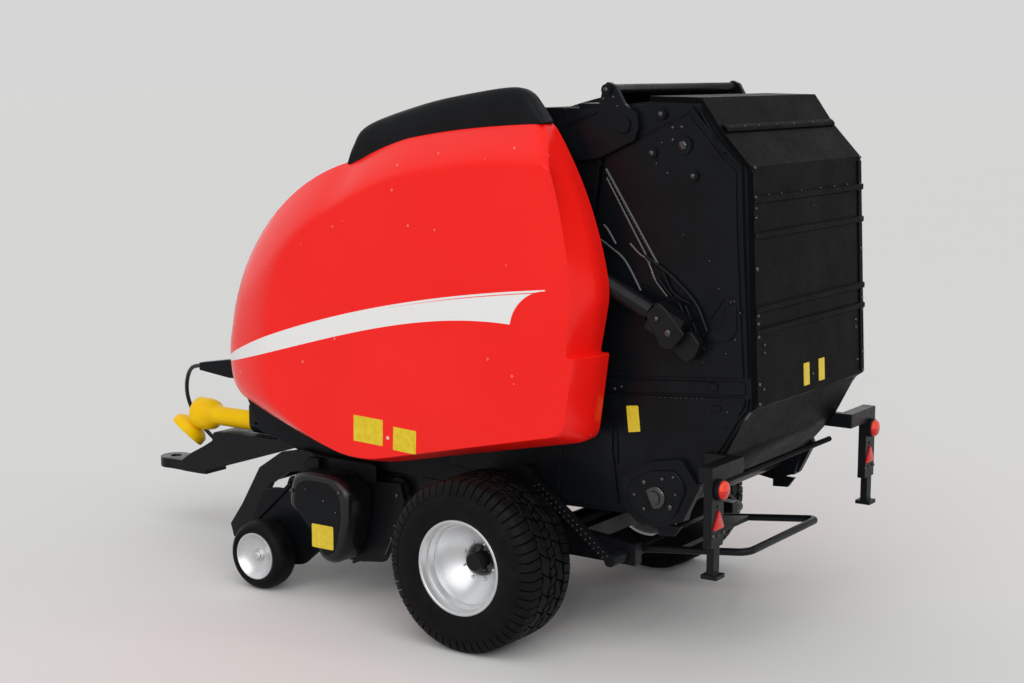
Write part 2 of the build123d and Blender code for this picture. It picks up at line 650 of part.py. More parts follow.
# Bale ramp: a bar through the beams with a bent tube and a tray between them
ramp_tube = 0.65
ramp_bend = 2.0
ramp_half = beam_inner_y - 3.1
ramp_rear_x = rear_x + 4.7
ramp_rear_z = 19.0
ramp_slope = (ramp_rear_z - ramp_front_z) / (ramp_rear_x - ramp_front_x)
tray_x = ramp_front_x - 7.9
tray_z = ramp_front_z + ramp_slope * (tray_x - ramp_front_x)
tray_half_wall = 0.4
strut_wall = 1.2
strut_outer_y = chamber_half + 1.2 + strut_wall
with BuildPart() as bale_ramp:
    cross_rod(ramp_front_x, ramp_front_z, ramp_bar_radius, -strut_outer_y, strut_outer_y)
    loop_corners = [Vector(axle_x + x, y, z) for x, y, z in (
        (ramp_front_x, -ramp_half, ramp_front_z), (ramp_rear_x, -ramp_half, ramp_rear_z),
        (ramp_rear_x, ramp_half, ramp_rear_z), (ramp_front_x, ramp_half, ramp_front_z))]
    with BuildLine() as loop:
        FilletPolyline(*loop_corners, radius=ramp_bend)
    with BuildSketch(Plane(origin=loop_corners[0], z_dir=loop_corners[1] - loop_corners[0])):
        Circle(ramp_tube)
    sweep()
    tray = [(ramp_front_x, ramp_front_z + tray_half_wall), (tray_x, tray_z + tray_half_wall),
            (tray_x, tray_z - tray_half_wall), (ramp_front_x, ramp_front_z - tray_half_wall)]
    extrude(side_face(tray, ramp_half), amount=2 * ramp_half)
keep(bale_ramp, "bale_ramp")

# Flat struts from the chamber sides down to the ramp's bar
strut_width = 1.6
strut_top = (-3.6, 29.6)
strut_stub_radius = 1.2
strut_run = hypot(strut_top[0] - ramp_front_x, strut_top[1] - ramp_front_z)
strut_dx = (strut_top[1] - ramp_front_z) / strut_run * strut_width / 2
strut_dz = (strut_top[0] - ramp_front_x) / strut_run * strut_width / 2
strut_corners = [(strut_top[0] - strut_dx, strut_top[1] + strut_dz),
                 (strut_top[0] + strut_dx, strut_top[1] - strut_dz),
                 (ramp_front_x + strut_dx, ramp_front_z - strut_dz),
                 (ramp_front_x - strut_dx, ramp_front_z + strut_dz)]
for side, name in both_sides:
    with BuildPart() as ramp_strut:
        extrude(side_face(strut_corners, side * strut_outer_y), amount=side * strut_wall)
        cross_rod(ramp_front_x, ramp_front_z, ramp_bar_radius, -strut_outer_y, strut_outer_y,
                  mode=Mode.SUBTRACT)
        cross_rod(*strut_top, strut_stub_radius, *span_y(side, chamber_half, strut_outer_y))
    keep(ramp_strut, f"ramp_strut_{name}")

# Pickup frame: end plates with gauge wheel arms, a trough, a tube and the lift pivot
pickup_spacer_corners = [(32.6, 20), (32.8, 15), (34.6, 9.6), (38.5, 8.4), (40.6, 12), (40.6, 17.5),
                         (38, 20.6)]
end_plate_corners = [(24.8, 20.2), (25.6, 23.2), (38, 22.4), (46.5, 21.4), (51.2, 16.5), (50.4, 10.4),
                     (46, 7.4), (38, 6.8), (34.8, 6.9), (29.8, 7.6), (26.9, 12.2), (26.0, 16.0)]
gauge_arm_corners = [(47.0, 17.0), (50.0, 17.6), (gauge_x + 1.4, gauge_radius + 0.75),
                     (gauge_x + 0.8, gauge_radius - 1.25), (gauge_x - 1.2, gauge_radius - 1.25),
                     (gauge_x - 2.4, gauge_radius + 0.75)]
gauge_stub_end_y = gauge_outer_y - 1.6
lug_clearance = 0.2
trough_corners = [(29.6, 12.4), (33.2, 8.4), (38.4, 6.2)]
trough_sheet = 0.6
tail_tube_x = 31.6
tail_tube_z = 19.15
tail_tube_radius = 0.9
with BuildPart() as pickup_frame:
    for side, _ in both_sides:
        extrude(side_face(end_plate_corners, side * pickup_half), amount=side * pickup_wall)
        extrude(side_face(gauge_arm_corners, side * pickup_half), amount=side * pickup_wall)
        cross_rod(gauge_x, gauge_radius, gauge_spindle_radius, *span_y(side, pickup_inner, gauge_stub_end_y))
        # Spacer that closes the drive housing's inner side
        extrude(side_face(pickup_spacer_corners, side * guard_outer_y), amount=side * guard_wall)
        # Lug at the lift pivot, between the end plate and the chassis beam
        cross_rod(lift_x, lift_z, 2 * lift_radius, *span_y(side, beam_outer_y + lug_clearance, pickup_inner))
    cross_rod(lift_x, lift_z, lift_radius - lift_clearance, -pickup_half, pickup_half)
    extrude(side_face(sheet_outline(trough_corners, trough_sheet), pickup_inner), amount=2 * pickup_inner)
    cross_rod(tail_tube_x, tail_tube_z, tail_tube_radius, -pickup_inner, pickup_inner)
keep(pickup_frame, "pickup_frame")

# Pickup reel: four rows of tines that pass between the bands
reel_clearance = 0.4
reel_half = pickup_inner - reel_clearance
reel_shaft_radius = 1.3
band_pitch = 2 * pickup_inner / (band_count + 0.75)
first_band_y = (band_count - 1) / 2 * band_pitch
tine_thickness = 0.7
tine_rows = 4
tine_bar_reach = 3.6
tine_bar_radius = 0.6
with BuildPart() as pickup_reel:
    cross_rod(reel_x, reel_z, reel_shaft_radius, -reel_half, reel_half)
    for i in range(tine_rows):
        angle = 360 / tine_rows * i + 20
        with BuildSketch(side_plane(first_band_y + band_pitch / 2 + tine_width / 2)) as tine:
            with Locations((reel_x, reel_z)):
                with Locations(Location((0, 0, 0), (0, 0, angle))):
                    with Locations((tine_reach / 2, 0)):
                        Rectangle(tine_reach, tine_thickness)
        for j in range(band_count + 1):
            extrude(tine.sketch.moved(Location((0, -j * band_pitch, 0))), amount=tine_width)
        bar_x = reel_x + tine_bar_reach * cos(radians(angle))
        bar_z = reel_z + tine_bar_reach * sin(radians(angle))
        cross_rod(bar_x, bar_z, tine_bar_radius, -reel_half, reel_half)
keep(pickup_reel, "pickup_reel")

# Sheet bands bent round the reel, each with a flat tail to the frame's tube
band_start = -110
band_end = 105
band_inner_radius = band_radius - band_sheet
reel_centre = Vector(reel_x, reel_z)
tail_corners = [(42.6, 19.9), (42.6, 20.4), (31.2, 20.6), (31.2, 20.1)]
with BuildPart() as pickup_bands:
    for i in range(band_count):
        y = first_band_y - i * band_pitch + band_width / 2
        with BuildSketch(side_plane(y)) as band:
            with BuildLine():
                CenterArc((reel_x, reel_z), band_radius, band_start, band_end - band_start)
                CenterArc((reel_x, reel_z), band_inner_radius, band_start, band_end - band_start)
                for angle in (band_start, band_end):
                    step = Vector(cos(radians(angle)), sin(radians(angle)))
                    Line(reel_centre + step * band_radius, reel_centre + step * band_inner_radius)
            make_face()
        extrude(band.sketch, amount=band_width)
        extrude(side_face(tail_corners, y), amount=band_width)
keep(pickup_bands, "pickup_bands")

# Hollow housing over the pickup's drive at each end
housing_corners = [(47.6, 18.0), (46.8, 23.4), (43.6, 25.4), (34.6, 25.4), (31.0, 22.0), (31.2, 16.4),
                   (33.0, 9.2), (35.4, 7.0), (39.0, 7.0), (41.6, 12.4)]
housing_rounding = 1.6
housing_edge_rounding = 0.9
for side, name in both_sides:
    with BuildPart() as pickup_cover:
        extrude(side_face(housing_corners, side * housing_outer_y, rounding=housing_rounding),
                amount=side * housing_depth)
        outer_face = pickup_cover.faces().sort_by(Axis.Y)[-1 if side > 0 else 0]
        fillet(outer_face.edges(), radius=housing_edge_rounding)
        hollow = side_face(housing_corners, side * (housing_outer_y - housing_wall),
                           rounding=housing_rounding, shrink=housing_wall)
        extrude(hollow, amount=side * (housing_depth - housing_wall), mode=Mode.SUBTRACT)
    keep(pickup_cover, f"pickup_cover_{name}")

# Wind guard: two bent arms with tubes across and fingers over the reel
guard_corners = [(42.4, 22.6), (43.0, 26.4), (48.4, 27.1), (53.8, 26.0), (59.6, 22.2), (64.4, 14.2),
                 (67.6, 9.8), (66.8, 7.2)]
guard_arm_width = 4.0
guard_tubes = ((64.8, 9.4, 1.2), (57.6, 20.2, 0.8))
finger_corners = [(57.6, 20.6), (57.6, 19.9), (46, 22.3), (46, 22.7)]
finger_width = 0.6
with BuildPart() as wind_guard:
    for side, _ in both_sides:
        extrude(side_face(sheet_outline(guard_corners, guard_arm_width), side * guard_outer_y),
                amount=side * guard_wall)
    for x, z, radius in guard_tubes:
        cross_rod(x, z, radius, -guard_outer_y, guard_outer_y)
    for i in range(band_count):
        y = first_band_y - i * band_pitch + finger_width / 2
        extrude(side_face(finger_corners, y), amount=finger_width)
keep(wind_guard, "wind_guard")

# Main wheels: profiles as (place across from the tyre's outer face or the rim's face, reach)
shoulder = rim_radius + 2.6
tyre_profile = [(0, shoulder), (-0.4, tyre_radius - 1.6), (-1.8, tyre_radius),
                (1.8 - tyre_width, tyre_radius), (0.4 - tyre_width, tyre_radius - 1.6),
                (-tyre_width, shoulder), (0.6 - tyre_width, rim_radius), (-0.6, rim_radius)]
lip = rim_radius - rim_wall
rim_back = tyre_inner_y + 0.6 - rim_face_y
bore = spindle_radius + turn_clearance
rim_profile = [(0, rim_radius), (rim_back, rim_radius), (rim_back, lip), (-9.0, lip - 0.4),
               (-8.2, hub_radius), (-10.6, hub_radius), (-10.6, bore), (-5.2, bore), (-5.2, hub_radius - 0.6),
               (-7.0, hub_radius),
               (-7.6, lip - 1.6), (-2.4, lip - 1.0), (-1.6, lip - 0.2), (0, lip)]
for side, name in both_sides:
    wheel_axis = Axis((axle_x, 0, tyre_radius), (0, 1, 0))
    with BuildPart() as tyre:
        corners = [(side * (tyre_outer_y + y), reach) for y, reach in tyre_profile]
        revolve(wheel_face(0, tyre_radius, corners), axis=wheel_axis)
    keep(tyre, f"tyre_{name}")
    with BuildPart() as rim:
        corners = [(side * (rim_face_y + y), reach) for y, reach in rim_profile]
        revolve(wheel_face(0, tyre_radius, corners), axis=wheel_axis)
    keep(rim, f"rim_{name}")

# Gauge wheels, with their profiles measured from the wheel's outer face
gauge_shoulder = gauge_radius - 1.25
gauge_bore = gauge_spindle_radius + turn_clearance
gauge_tyre_profile = [(0, gauge_shoulder), (-1.0, gauge_radius), (1.0 - gauge_width, gauge_radius),
                      (-gauge_width, gauge_shoulder), (-gauge_width, gauge_rim_radius),
                      (0, gauge_rim_radius)]
gauge_rim_profile = [(0, gauge_rim_radius), (-gauge_width, gauge_rim_radius), (-gauge_width, gauge_bore),
                     (-1.4, gauge_bore), (-1.4, gauge_bore + 0.9), (-2.6, gauge_bore + 1.6),
                     (0, gauge_rim_radius - 0.5)]
for side, name in both_sides:
    gauge_axis = Axis((axle_x + gauge_x, 0, gauge_radius), (0, 1, 0))
    for piece, profile in (("gauge_tyre", gauge_tyre_profile), ("gauge_rim", gauge_rim_profile)):
        with BuildPart() as turned:
            corners = [(side * (gauge_outer_y + y), reach) for y, reach in profile]
            revolve(wheel_face(gauge_x, gauge_radius, corners), axis=gauge_axis)
        keep(turned, f"{piece}_{name}")
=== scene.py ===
import bpy
import bmesh
from math import atan2, cos, dist, hypot, pi, radians, sin, sqrt
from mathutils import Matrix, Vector


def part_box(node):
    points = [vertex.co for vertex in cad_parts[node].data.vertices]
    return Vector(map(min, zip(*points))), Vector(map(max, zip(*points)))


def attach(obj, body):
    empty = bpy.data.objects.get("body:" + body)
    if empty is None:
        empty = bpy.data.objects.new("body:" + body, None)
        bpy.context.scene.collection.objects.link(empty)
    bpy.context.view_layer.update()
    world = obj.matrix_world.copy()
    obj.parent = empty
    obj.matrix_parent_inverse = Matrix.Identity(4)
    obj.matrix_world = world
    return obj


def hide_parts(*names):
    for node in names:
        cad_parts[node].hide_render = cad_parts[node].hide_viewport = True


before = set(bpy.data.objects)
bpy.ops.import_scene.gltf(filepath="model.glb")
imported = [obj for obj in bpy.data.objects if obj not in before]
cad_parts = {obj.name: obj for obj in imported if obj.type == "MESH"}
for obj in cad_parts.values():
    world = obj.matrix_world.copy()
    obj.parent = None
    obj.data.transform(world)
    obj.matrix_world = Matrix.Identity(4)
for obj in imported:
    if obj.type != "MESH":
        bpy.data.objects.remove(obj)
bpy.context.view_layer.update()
print("frame loaded:", len(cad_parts), "nodes")

# A scale model of a round baler. Places are in millimetres: x ahead of the main axle, y to the left, z up.
mm = 0.001
axleLow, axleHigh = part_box("main_axle")
axleX = (axleLow.x + axleHigh.x) / 2
scene = bpy.context.scene
bothSides = ((1, "left"), (-1, "right"))


def place(x, y, z):
    return Vector((axleX + x * mm, y * mm, z * mm))


# The lowest and highest corner of a frame node, in millimetres from the axle
def extent(node):
    low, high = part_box(node)
    shift = Vector((axleX, 0, 0))
    return (low - shift) / mm, (high - shift) / mm


def middleOf(node):
    low, high = extent(node)
    return (low + high) / 2


def radiusOf(node):
    low, high = extent(node)
    return (high.z - low.z) / 2


def addObject(name, data):
    made = bpy.data.objects.new(name, data)
    scene.collection.objects.link(made)
    return made


# Camera, standing off the rear left corner
cameraView = {"spot": (-173.6, 274.3, 99.4), "turn": 34.55, "dip": 8.76, "lens": 62.39}
turn = radians(cameraView["turn"])
dip = radians(cameraView["dip"])
gaze = Vector((sin(turn) * cos(dip), -cos(turn) * cos(dip), -sin(dip)))
cameraData = bpy.data.cameras.new("camera")
cameraData.lens = cameraView["lens"]
cameraData.sensor_width = 36
cameraData.clip_start = 0.005
camera = addObject("camera", cameraData)
camera.location = place(*cameraView["spot"])
camera.rotation_euler = gaze.to_track_quat("-Z", "Y").to_euler()
scene.camera = camera


# A shader value or colour: operators add Math nodes, and mix() uses a value to blend two colours
class Wire:
    def __init__(self, nodes, socket):
        self.nodes = nodes
        self.socket = socket

    def math(self, operation, *values, clamp=False):
        settings = {"operation": operation, "use_clamp": clamp}
        return self.nodes.node("ShaderNodeMath", settings, dict(enumerate(values)))

    def __add__(self, other):
        return self.math("ADD", self, other)

    def __radd__(self, other):
        return self.math("ADD", other, self)

    def __sub__(self, other):
        return self.math("SUBTRACT", self, other)

    def __rsub__(self, other):
        return self.math("SUBTRACT", other, self)

    def __mul__(self, other):
        return self.math("MULTIPLY", self, other)

    def __rmul__(self, other):
        return self.math("MULTIPLY", other, self)

    def __truediv__(self, other):
        return self.math("DIVIDE", self, other)

    def __rtruediv__(self, other):
        return self.math("DIVIDE", other, self)

    def __abs__(self):
        return self.math("ABSOLUTE", self)

    # 1 where the value is above zero, with an edge as wide as blur
    def above(self, blur):
        return self.math("MULTIPLY_ADD", self, 1 / blur, 0.5, clamp=True)

    # The value as a factor between two colours
    def mix(self, low, high):
        inputs = {"Factor": self, 6: low, 7: high}
        return self.nodes.node("ShaderNodeMix", {"data_type": "RGBA"}, inputs, output=2)

    # The value's range from low to high laid over another range, and held at its ends
    def remap(self, low, high, toLow=0, toHigh=1):
        return self.nodes.node("ShaderNodeMapRange", {}, {0: self, 1: low, 2: high, 3: toLow, 4: toHigh})


# A node tree: node() takes a kind, its settings, and the values or links of its sockets
class Nodes:
    def __init__(self, owner):
        owner.use_nodes = True
        self.tree = owner.node_tree

    def node(self, kind, settings, inputs, output=0):
        made = self.tree.nodes.new(kind)
        for key, value in settings.items():
            setattr(made, key, value)
        for key, value in inputs.items():
            if isinstance(value, Wire):
                self.tree.links.new(value.socket, made.inputs[key])
            else:
                made.inputs[key].default_value = value
        return Wire(self, made.outputs[output])


# A material: its nodes, and the fixed values of its surface
class Finish(Nodes):
    def __init__(self, name, slot, **surface):
        self.slot = slot
        self.material = bpy.data.materials.new(name)
        super().__init__(self.material)
        self.surface = self.tree.nodes["Principled BSDF"]
        for key, value in surface.items():
            self.surface.inputs[key.replace("_", " ")].default_value = value
        self.spot = self.node("ShaderNodeTexCoord", {}, {}, output="Object")

    def noise(self, size, detail=3, roughness=0.5):
        inputs = {"Vector": self.spot, "Scale": 1 / (size * mm), "Detail": detail, "Roughness": roughness}
        return self.node("ShaderNodeTexNoise", {}, inputs)

    def cells(self, size):
        return self.node("ShaderNodeTexVoronoi", {}, {"Vector": self.spot, "Scale": 1 / (size * mm)})

    def axis(self, name):
        return self.node("ShaderNodeSeparateXYZ", {}, {0: self.spot}, output=name)

    def feed(self, socket, wire):
        self.tree.links.new(wire.socket, self.surface.inputs[socket])

    def bump(self, height, depth):
        inputs = {"Height": height, "Distance": depth * mm, "Strength": 1.0}
        self.feed("Normal", self.node("ShaderNodeBump", {}, inputs, output="Normal"))


def colour(red, green, blue):
    return (red, green, blue, 1)


# Where the stripe on the covers runs, as cubics in centimetres ahead of the axle
stripe = {"top": (61.79, -1.474, -0.167, -0.0067), "bottom": (57.42, -0.545, -0.556, 0.0468),
          "tail": -15.4, "notch": (-16.0, 56.5, 7.6, 7.0), "line": (0.38, 0.52), "lineEnd": 20, "inner": 28.5}
coverLabels = {"large": (22.0, 36.05, 3.3, 2.35, 2), "small": (13.9, 35.15, 2.5, 2.1, 3),
               "dot": (17.6, 35.2, 0.34)}


def coverFinish():
    red = Finish("glossy_red", "cover_red", Specular_IOR_Level=0.26)
    x = (red.axis("X") - axleX) / mm
    y = red.axis("Y") / mm
    z = red.axis("Z") / mm
    blur = 0.06
    normal = red.node("ShaderNodeNewGeometry", {}, {}, output="Normal")
    normalY = red.node("ShaderNodeSeparateXYZ", {}, {0: normal}, output="Y")
    outside = (abs(y) - stripe["inner"]).above(blur) * (normalY * y).above(0.5)
    u = x / 10

    def edge(c):
        return ((u * c[3] + c[2]) * u + c[1]) * u + c[0]

    top = edge(stripe["top"])
    cutX, cutZ, cutWide, cutHigh = stripe["notch"]
    dx = (x - cutX) / cutWide
    dz = (z - cutZ) / cutHigh
    onStripe = (top - z).above(blur) * (z - edge(stripe["bottom"])).above(blur)
    onStripe = onStripe * (dx * dx + dz * dz - 1).above(0.02) * (x - stripe["tail"]).above(blur)
    onStripe = onStripe * outside
    near, far = stripe["line"]
    depth = top - z
    hairline = (depth - near).above(blur) * (far - depth).above(blur) * x.remap(0, stripe["lineEnd"], 1, 0)
    onStripe = onStripe * (1 - hairline)
    tone = red.noise(26, 2).remap(0.3, 0.7)
    paint = tone.mix(colour(0.96, 0.009, 0.006), colour(1.0, 0.014, 0.009))
    paint = onStripe.mix(paint, colour(0.86, 0.86, 0.85))
    ink = red.noise(1.1, 2).remap(0.35, 0.65).mix(colour(0.74, 0.53, 0.015), colour(0.83, 0.62, 0.03))
    for key in ("large", "small"):
        labelX, labelZ, halfWide, halfHigh, tilt = coverLabels[key]
        lean = radians(tilt)
        along = (x - labelX) * cos(lean) + (z - labelZ) * sin(lean)
        up = (z - labelZ) * cos(lean) - (x - labelX) * sin(lean)
        onLabel = (halfWide - abs(along)).above(blur) * (halfHigh - abs(up)).above(blur)
        paint = (onLabel * outside).mix(paint, ink)
    dotX, dotZ, dotRadius = coverLabels["dot"]
    dx = x - dotX
    dz = z - dotZ
    onDot = (dotRadius * dotRadius - dx * dx - dz * dz).above(0.04)
    paint = (onDot * outside).mix(paint, colour(0.80, 0.55, 0.50))
    specks = (0.075 - red.cells(3.2)).above(0.01) * (red.noise(9, 2) - 0.55).above(0.02)
    paint = (specks * 0.35).mix(paint, colour(0.9, 0.5, 0.45))
    red.feed("Base Color", paint)
    red.feed("Roughness", red.noise(14, 3).remap(0.3, 0.7, 0.16, 0.25) + specks * 0.3)
    red.bump(red.noise(7, 2), 0.012)
    return red


# Moulded black plastic: cloudy gloss and fine grain, with a painted sheen: where the cloud is glossier it is
# also painted paler
def plasticFinish(name, slot, base, gloss, specular, grain=0.35, depth=0.012):
    plastic = Finish(name, slot, Specular_IOR_Level=specular)
    cloud = plastic.noise(9, 3, 0.6).remap(0.35, 0.68)
    # Painted sheen: the glossier end of the cloud is painted paler
    paintedSheen = tuple(channel * 1.7 for channel in base)
    plastic.feed("Base Color", cloud.mix(colour(*base), colour(*paintedSheen)))
    low, high = gloss
    rough = cloud.remap(0, 1, high, low) + plastic.noise(0.9, 3).remap(0.3, 0.7, -0.05, 0.05)
    plastic.feed("Roughness", rough)
    plastic.bump(plastic.noise(grain, 3, 0.6), depth)
    return plastic


def silverFinish():
    silver = Finish("silver_paint", "rim_silver", Metallic=0.82)
    flake = silver.noise(0.12, 2)
    cloud = silver.noise(5, 3)
    sparkle = cloud * 0.6 + flake * 0.4
    silver.feed("Base Color", sparkle.mix(colour(0.56, 0.57, 0.58), colour(0.74, 0.75, 0.76)))
    silver.feed("Roughness", cloud.remap(0.3, 0.7, 0.30, 0.42))
    silver.bump(flake, 0.004)
    return silver


# Mottled: one cloud sets how both colour and gloss run between two ends, over a fine grain
def mottledFinish(name, slot, cloud, span, tones, gloss, grain, depth, **surface):
    mottled = Finish(name, slot, **surface)
    tone = mottled.noise(*cloud).remap(*span)
    mottled.feed("Base Color", tone.mix(colour(*tones[0]), colour(*tones[1])))
    mottled.feed("Roughness", tone.remap(0, 1, *gloss))
    mottled.bump(mottled.noise(*grain), depth)
    return mottled


def steelFinish():
    steel = Finish("dark_steel", "rod_steel", Metallic=0.6)
    streak = steel.noise(0.8, 4)
    steel.feed("Base Color", streak.mix(colour(0.035, 0.037, 0.04), colour(0.09, 0.093, 0.1)))
    steel.feed("Roughness", streak.remap(0.3, 0.7, 0.26, 0.4))
    steel.bump(steel.noise(0.3, 3), 0.006)
    return steel


# Lens glass: an orange-red upper half over a red lower half
def lensFinish(middle):
    lens = Finish("lamp_lens", "lamp_red", Specular_IOR_Level=0.3, Coat_Weight=0.15, Coat_Roughness=0.08)
    z = lens.axis("Z") / mm
    split = (z - middle).above(0.15)
    ribs = z.math("SINE", z * 9) * 0.5 + 0.5
    glow = split.mix(colour(0.60, 0.006, 0.005), colour(0.90, 0.055, 0.02))
    lens.feed("Base Color", (ribs * 0.12).mix(glow, colour(0.9, 0.12, 0.06)))
    lens.feed("Roughness", lens.noise(0.7, 2).remap(0.3, 0.7, 0.16, 0.28))
    lens.bump(ribs, 0.03)
    return lens


lampMiddle = middleOf("rear_lamp_left").z
coverRed = coverFinish()
bodyBlack = plasticFinish("body_black_plastic", "body_black", (0.003, 0.0038, 0.005), (0.24, 0.44), 0.13)
rearBlack = plasticFinish("rear_black_plastic", "body_black", (0.0022, 0.0024, 0.0026), (0.38, 0.46), 0.03)
trimBlack = plasticFinish("trim_black_plastic", "trim_black", (0.004, 0.0046, 0.0056), (0.38, 0.56), 0.12,
                          depth=0.02)
frameBlack = plasticFinish("frame_black_paint", "frame_black", (0.004, 0.0045, 0.0055), (0.26, 0.46), 0.18)
glossBlack = plasticFinish("fastener_black_gloss", "frame_black", (0.009, 0.0095, 0.0105), (0.10, 0.2), 0.75,
                           depth=0.006)
housingBlack = plasticFinish("housing_black_gloss", "frame_black", (0.0045, 0.0048, 0.0055), (0.16, 0.3), 0.4,
                             depth=0.006)
hoseBlack = plasticFinish("hose_rubber", "hose_black", (0.005, 0.0055, 0.006), (0.3, 0.45), 0.3, grain=0.2)
rimSilver = silverFinish()
tyreRubber = mottledFinish("tyre_rubber", "tyre", (2.6, 4, 0.65), (0.45, 0.75),
                           ((0.0028, 0.003, 0.0032), (0.0085, 0.0087, 0.0083)), (0.5, 0.72), (0.25, 4, 0.6),
                           0.02, Specular_IOR_Level=0.1)
rodSteel = steelFinish()
shaftYellow = mottledFinish("guard_yellow", "shaft_yellow", (4, 3), (0.3, 0.7),
                            ((1.0, 0.55, 0.001), (1.0, 0.64, 0.002)), (0.32, 0.44), (0.6, 3), 0.015,
                            Specular_IOR_Level=0.14)
lampLens = lensFinish(lampMiddle)
labelYellow = mottledFinish("blank_label", "shaft_yellow", (0.9, 3), (0.35, 0.65),
                            ((0.72, 0.52, 0.015), (0.82, 0.61, 0.03)), (0.36, 0.5), (0.4, 2), 0.006)
print("finishes made:", len(bpy.data.materials))


# A place part of the way from one to another
def between(start, end, share):
    return tuple(a + (b - a) * share for a, b in zip(start, end))


# A place on the curve that rounds a corner
def roundCorner(before, corner, after, t):
    return tuple((1 - t)**2 * a + 2 * t * (1 - t) * b + t * t * c for a, b, c in zip(before, corner, after))


# A line's direction, and two more that are square to it and to each other
def acrossLine(direction):
    along = Vector(direction).normalized()
    right = along.orthogonal().normalized()
    return along, right, along.cross(right)


# A circle of points about a middle, in the plane of two directions
def circle(middle, right, up, radius, sides):
    spokes = [2 * pi * i / sides for i in range(sides)]
    return [tuple(middle + (right * cos(a) + up * sin(a)) * radius) for a in spokes]


# A mesh in the making, from closed lofts; make() gives it a finish and a body to ride on
class Shape:
    def __init__(self):
        self.points = []
        self.faces = []

    # Skin over rings of points, closed by a flat cap at each end, or joined round into a hoop
    def loft(self, rings, hoop=False):
        start = len(self.points)
        count = len(rings[0])
        for ring in rings:
            self.points.extend(ring)
        turns = len(rings) if hoop else len(rings) - 1
        for i in range(turns):
            low = start + i * count
            high = start + (i + 1) % len(rings) * count
            for j in range(count):
                k = (j + 1) % count
                self.faces.append((low + j, low + k, high + k, high + j))
        if not hoop:
            self.faces.append(tuple(range(start, start + count)))
            self.faces.append(tuple(range(start + (len(rings) - 1) * count, start + len(rings) * count)))
        return self

    # A plate from an outline of (x, z), between two places across, with a small chamfer on its far face
    def plate(self, outline, near, far, chamfer=0.12):
        step = chamfer if far > near else -chamfer
        drawn = inset(outline, chamfer)
        rings = [(outline, near), (outline, far - step), (drawn, far)]
        return self.loft([[(x, y, z) for x, z in ring] for ring, y in rings])

    # A round solid about any line, from a profile of (distance along, radius)
    def turned(self, centre, direction, profile, sides=16):
        along, right, up = acrossLine(direction)
        return self.loft([circle(Vector(centre) + along * distance, right, up, radius, sides)
                          for distance, radius in profile])

    # A ring about any line, from a closed profile of (distance along, radius)
    def spun(self, centre, direction, profile, steps=48):
        along, right, up = acrossLine(direction)
        rings = []
        for i in range(steps):
            angle = 2 * pi * i / steps
            spoke = right * cos(angle) + up * sin(angle)
            rings.append([tuple(Vector(centre) + along * distance + spoke * radius)
                          for distance, radius in profile])
        return self.loft(rings, hoop=True)

    def bolt(self, centre, direction, radius=0.35, height=0.3, sides=8):
        profile = [(-0.1, radius), (height * 0.45, radius), (height * 0.8, radius * 0.75),
                   (height, radius * 0.3)]
        return self.turned(centre, direction, profile, sides)

    # Bolts on one side of the object, from (x, z, radius) and how far across they stand
    def sideBolts(self, rows, side, across, height, sides=8):
        for x, z, radius in rows:
            self.bolt((x, side * across, z), (0, side, 0), radius, height, sides)

    # A round bar along a run of points
    def bar(self, points, radius, sides=10):
        path = [Vector(point) for point in points]
        right = (path[1] - path[0]).orthogonal().normalized()
        rings = []
        for i, point in enumerate(path):
            ahead = (path[min(i + 1, len(path) - 1)] - path[max(i - 1, 0)]).normalized()
            right = (right - ahead * right.dot(ahead)).normalized()
            rings.append(circle(point, right, ahead.cross(right), radius, sides))
        return self.loft(rings)

    # A raised line with sloping sides, along points (x, z) on a face across the object
    def strip(self, path, near, far, wide):
        rings = []
        for i, (x, z) in enumerate(path):
            (ax, az), (bx, bz) = path[max(i - 1, 0)], path[min(i + 1, len(path) - 1)]
            run = hypot(bx - ax, bz - az)
            nx, nz = -(bz - az) / run * wide / 2, (bx - ax) / run * wide / 2
            rings.append([(x - nx, near, z - nz), (x - nx * 0.6, far, z - nz * 0.6),
                          (x + nx * 0.6, far, z + nz * 0.6), (x + nx, near, z + nz)])
        return self.loft(rings)

    def block(self, xRange, yRange, zRange, chamfer=0.12):
        x0, x1 = xRange
        z0, z1 = zRange
        near, far = yRange
        outline = [(x0, z0), (x1, z0), (x1, z1), (x0, z1)]
        drawn = inset(outline, chamfer)
        rings = [(drawn, near), (outline, near + chamfer), (outline, far - chamfer), (drawn, far)]
        return self.loft([[(x, y, z) for x, z in ring] for ring, y in rings])

    def make(self, name, finish, body, crease=35):
        mesh = bpy.data.meshes.new(name)
        mesh.from_pydata([place(*point) for point in self.points], [], self.faces)
        work = bmesh.new()
        work.from_mesh(mesh)
        bmesh.ops.recalc_face_normals(work, faces=work.faces)
        work.to_mesh(mesh)
        work.free()
        mesh.shade_smooth()
        mesh.set_sharp_from_angle(angle=radians(crease))
        mesh.materials.append(finish.material)
        piece = addObject(name, mesh)
        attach(piece, body)
        return piece


# An outline drawn in from its edge, whichever way round it runs
def inset(outline, amount):
    area = sum(a[0] * b[1] - b[0] * a[1] for a, b in zip(outline, outline[1:] + outline[:1]))
    side = 1 if area > 0 else -1
    drawn = []
    for before, here, after in zip(outline[-1:] + outline[:-1], outline, outline[1:] + outline[:1]):
        turns = []
        for a, b in ((before, here), (here, after)):
            run = max(dist(a, b), 1e-6)
            turns.append((-(b[1] - a[1]) / run * side, (b[0] - a[0]) / run * side))
        nx = (turns[0][0] + turns[1][0]) / 2
        nz = (turns[0][1] + turns[1][1]) / 2
        grow = amount / max(nx * nx + nz * nz, 0.25)
        drawn.append((here[0] + nx * grow, here[1] + nz * grow))
    return drawn


